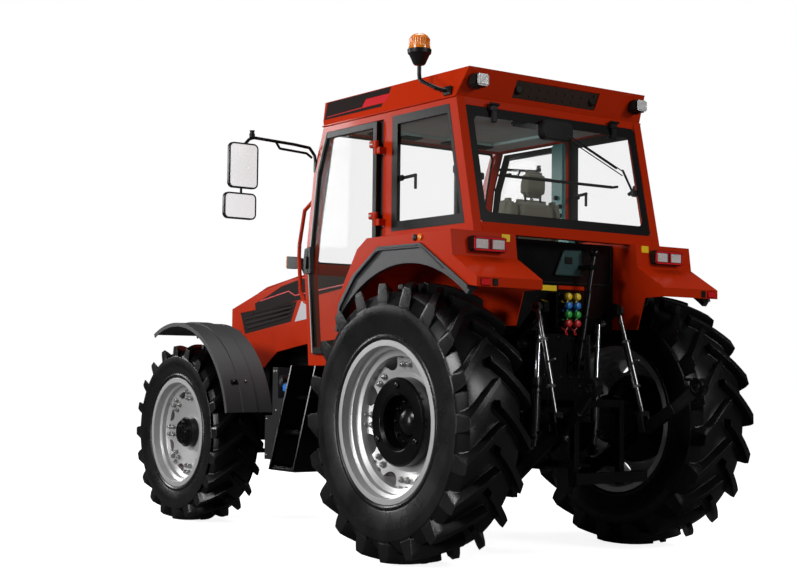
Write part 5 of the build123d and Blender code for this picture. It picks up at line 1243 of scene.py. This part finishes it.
for z in guard_rings:
    turned(guard, [(z + up, r) for up, r in ring_section], silencer, (0, 0, 1), 40, True)
turned(guard, pipe_lip, silencer, (0, 0, 1), 32, True)
ride("exhaust_guard", guard, black_paint)

# ---- Linkage ----
# Bright rods in black cylinders, spring clips in the pin ends, grip bars on the screwed sleeves, and two columns of
# quick couplers with yellow, blue, green and red dust caps on straps.
chrome = surface("chrome_rod", (0.78, 0.79, 0.80), 0.10, (2.0, 0.03), (60.0, 0.00003), 0.0, 0.05, Metallic=1.0)
dress(chrome, "cylinder_rods")
barrel_black = surface("barrel_black", (0.012, 0.012, 0.014), 0.16, (4.0, 0.2), (240.0, 0.00005), 0.003, 0.1,
                       Specular_IOR_Level=1.0, Coat_Weight=0.8)
dress(barrel_black, "cylinder_barrels", "lift_rods")
caps_face, caps_y, top_cap_z, cap_pitch = -0.318, (-0.058, 0.012), 1.518, 0.052
cap_colours = (("yellow", (0.85, 0.58, 0.02)), ("blue", (0.02, 0.20, 0.62)), ("green", (0.03, 0.42, 0.06)),
               ("red", (0.62, 0.02, 0.02)))
dust_cap = ((0, 0.0205), (0.004, 0.0225), (0.020, 0.0225), (0.024, 0.019), (0.030, 0.018), (0.034, 0.010), (0.034, 0.0))
strap_lengths, strap_sway, strap_drop, strap_back = 8, 0.020, 0.045, 0.060


def strap_point(place, share):
    """Point on a cap's hanging strap, which sways out, down and back to the plate."""
    bulge = math.sin(math.pi * share)
    return place + Vector((strap_back * share - 0.012 - strap_sway * bulge, strap_sway * math.sin(2 * math.pi * share),
                           -0.022 - strap_drop * bulge))


for row, (name, colour) in enumerate(cap_colours):
    tint = surface(f"cap_{name}", colour, 0.35, (30.0, 0.1), (400.0, 0.0002), 0.001, 0.1)
    caps = bmesh.new()
    for y in caps_y:
        place = from_axle(caps_face, y, top_cap_z - cap_pitch * row)
        turned(caps, dust_cap, place, (-1, 0, 0), 24)
        strap = [strap_point(place, k / strap_lengths) for k in range(strap_lengths + 1)]
        for start, end in zip(strap, strap[1:]):
            rod(caps, start, end, 0.0036, 8)
    ride(f"coupler_caps_{name}", caps, tint)


def band(bm, place, run, inner, outer, long, corners):
    """Ring of square section round a bar."""
    turned(bm, ((0, inner), (0, outer), (long, outer), (long, inner)), place, run, corners, True)


port_reach, port_root = 0.045, 0.026
foot, head = from_axle(-0.290, 0.234, 0.620), from_axle(-0.330, 0.234, 1.372)
axis = (head - foot).normalized()
collars = bmesh.new()
for side, _ in sides:
    flip = Vector((1, side, 1))
    for at, long in ((0.075, 0.020), (0.365, 0.022)):
        band(collars, (foot + axis * at) * flip, axis * flip, 0.0285, 0.031, long, 28)
    for at in (0.110, 0.340):
        place = (foot + axis * at) * flip
        tip = place - Vector((port_reach, 0, 0))
        rod(collars, place - Vector((port_root, 0, 0)), tip, 0.009, 12, 0.002)
        turned(collars, ((0, 0.012), (0.012, 0.012)), tip, (-1, 0, 0), 6)
ride("cylinder_collars", collars, black_paint, "cylinder_barrels")

lift_rod_ends = (-0.409, 0.3205, 1.446), (-0.5856, 0.339, 0.8427)
top_link_ends = (-0.345, -0.060, 1.130), (-0.298, -0.228, 1.790)
nuts_at, grip_at, nut_long, grip_radius = (0.30, 0.73), 0.52, 0.014, 0.006
grips = bmesh.new()
for side, _ in sides:
    top, low = (from_axle(x, side * y, z) for x, y, z in lift_rod_ends)
    for share in nuts_at:
        band(grips, top.lerp(low, share), (low - top).normalized(), 0.0225, 0.026, nut_long, 6)
    mid = top.lerp(low, grip_at)
    rod(grips, mid + Vector((-0.070, 0, 0.02)), mid + Vector((0.02, 0, -0.005)), grip_radius, 10, 0.001)
ride("lift_rod_grips", grips, zinc, "lift_rods")
turnbuckle = bmesh.new()
foot, head = (from_axle(*end) for end in top_link_ends)
run = (head - foot).normalized()
for at in (0.128, 0.428):
    band(turnbuckle, foot + run * at, run, 0.0225, 0.027, nut_long, 6)
mid = foot + run * 0.28
rod(turnbuckle, mid + Vector((-0.02, -0.05, 0)), mid + Vector((-0.02, 0.05, 0)), grip_radius, 10, 0.001)
ride("top_link_grips", turnbuckle, black_paint)

hook_x, hook_y, hook_z, hook_face = -0.955, 0.410, 1.0035, 0.0202
washer = ((0.0, 0.030), (0.0, 0.050), (0.004, 0.049), (0.004, 0.031))
hooks = bmesh.new()
for side, _ in sides:
    y = side * hook_y
    for way in (1, -1):
        turned(hooks, washer, from_axle(hook_x, y + way * hook_face, hook_z), (0, way, 0), 30, True)
    turned(hooks, ((0, 0.012), (0.010, 0.012), (0.014, 0.008)), from_axle(-0.880, y + 0.016, 1.0), (0, side, 0), 14)
    block(hooks, from_axle(-0.90, y - 0.006, 1.035), from_axle(-0.85, y + 0.006, 1.052), 0.003)
ride("hook_faces", hooks, black_paint, "lower_links")
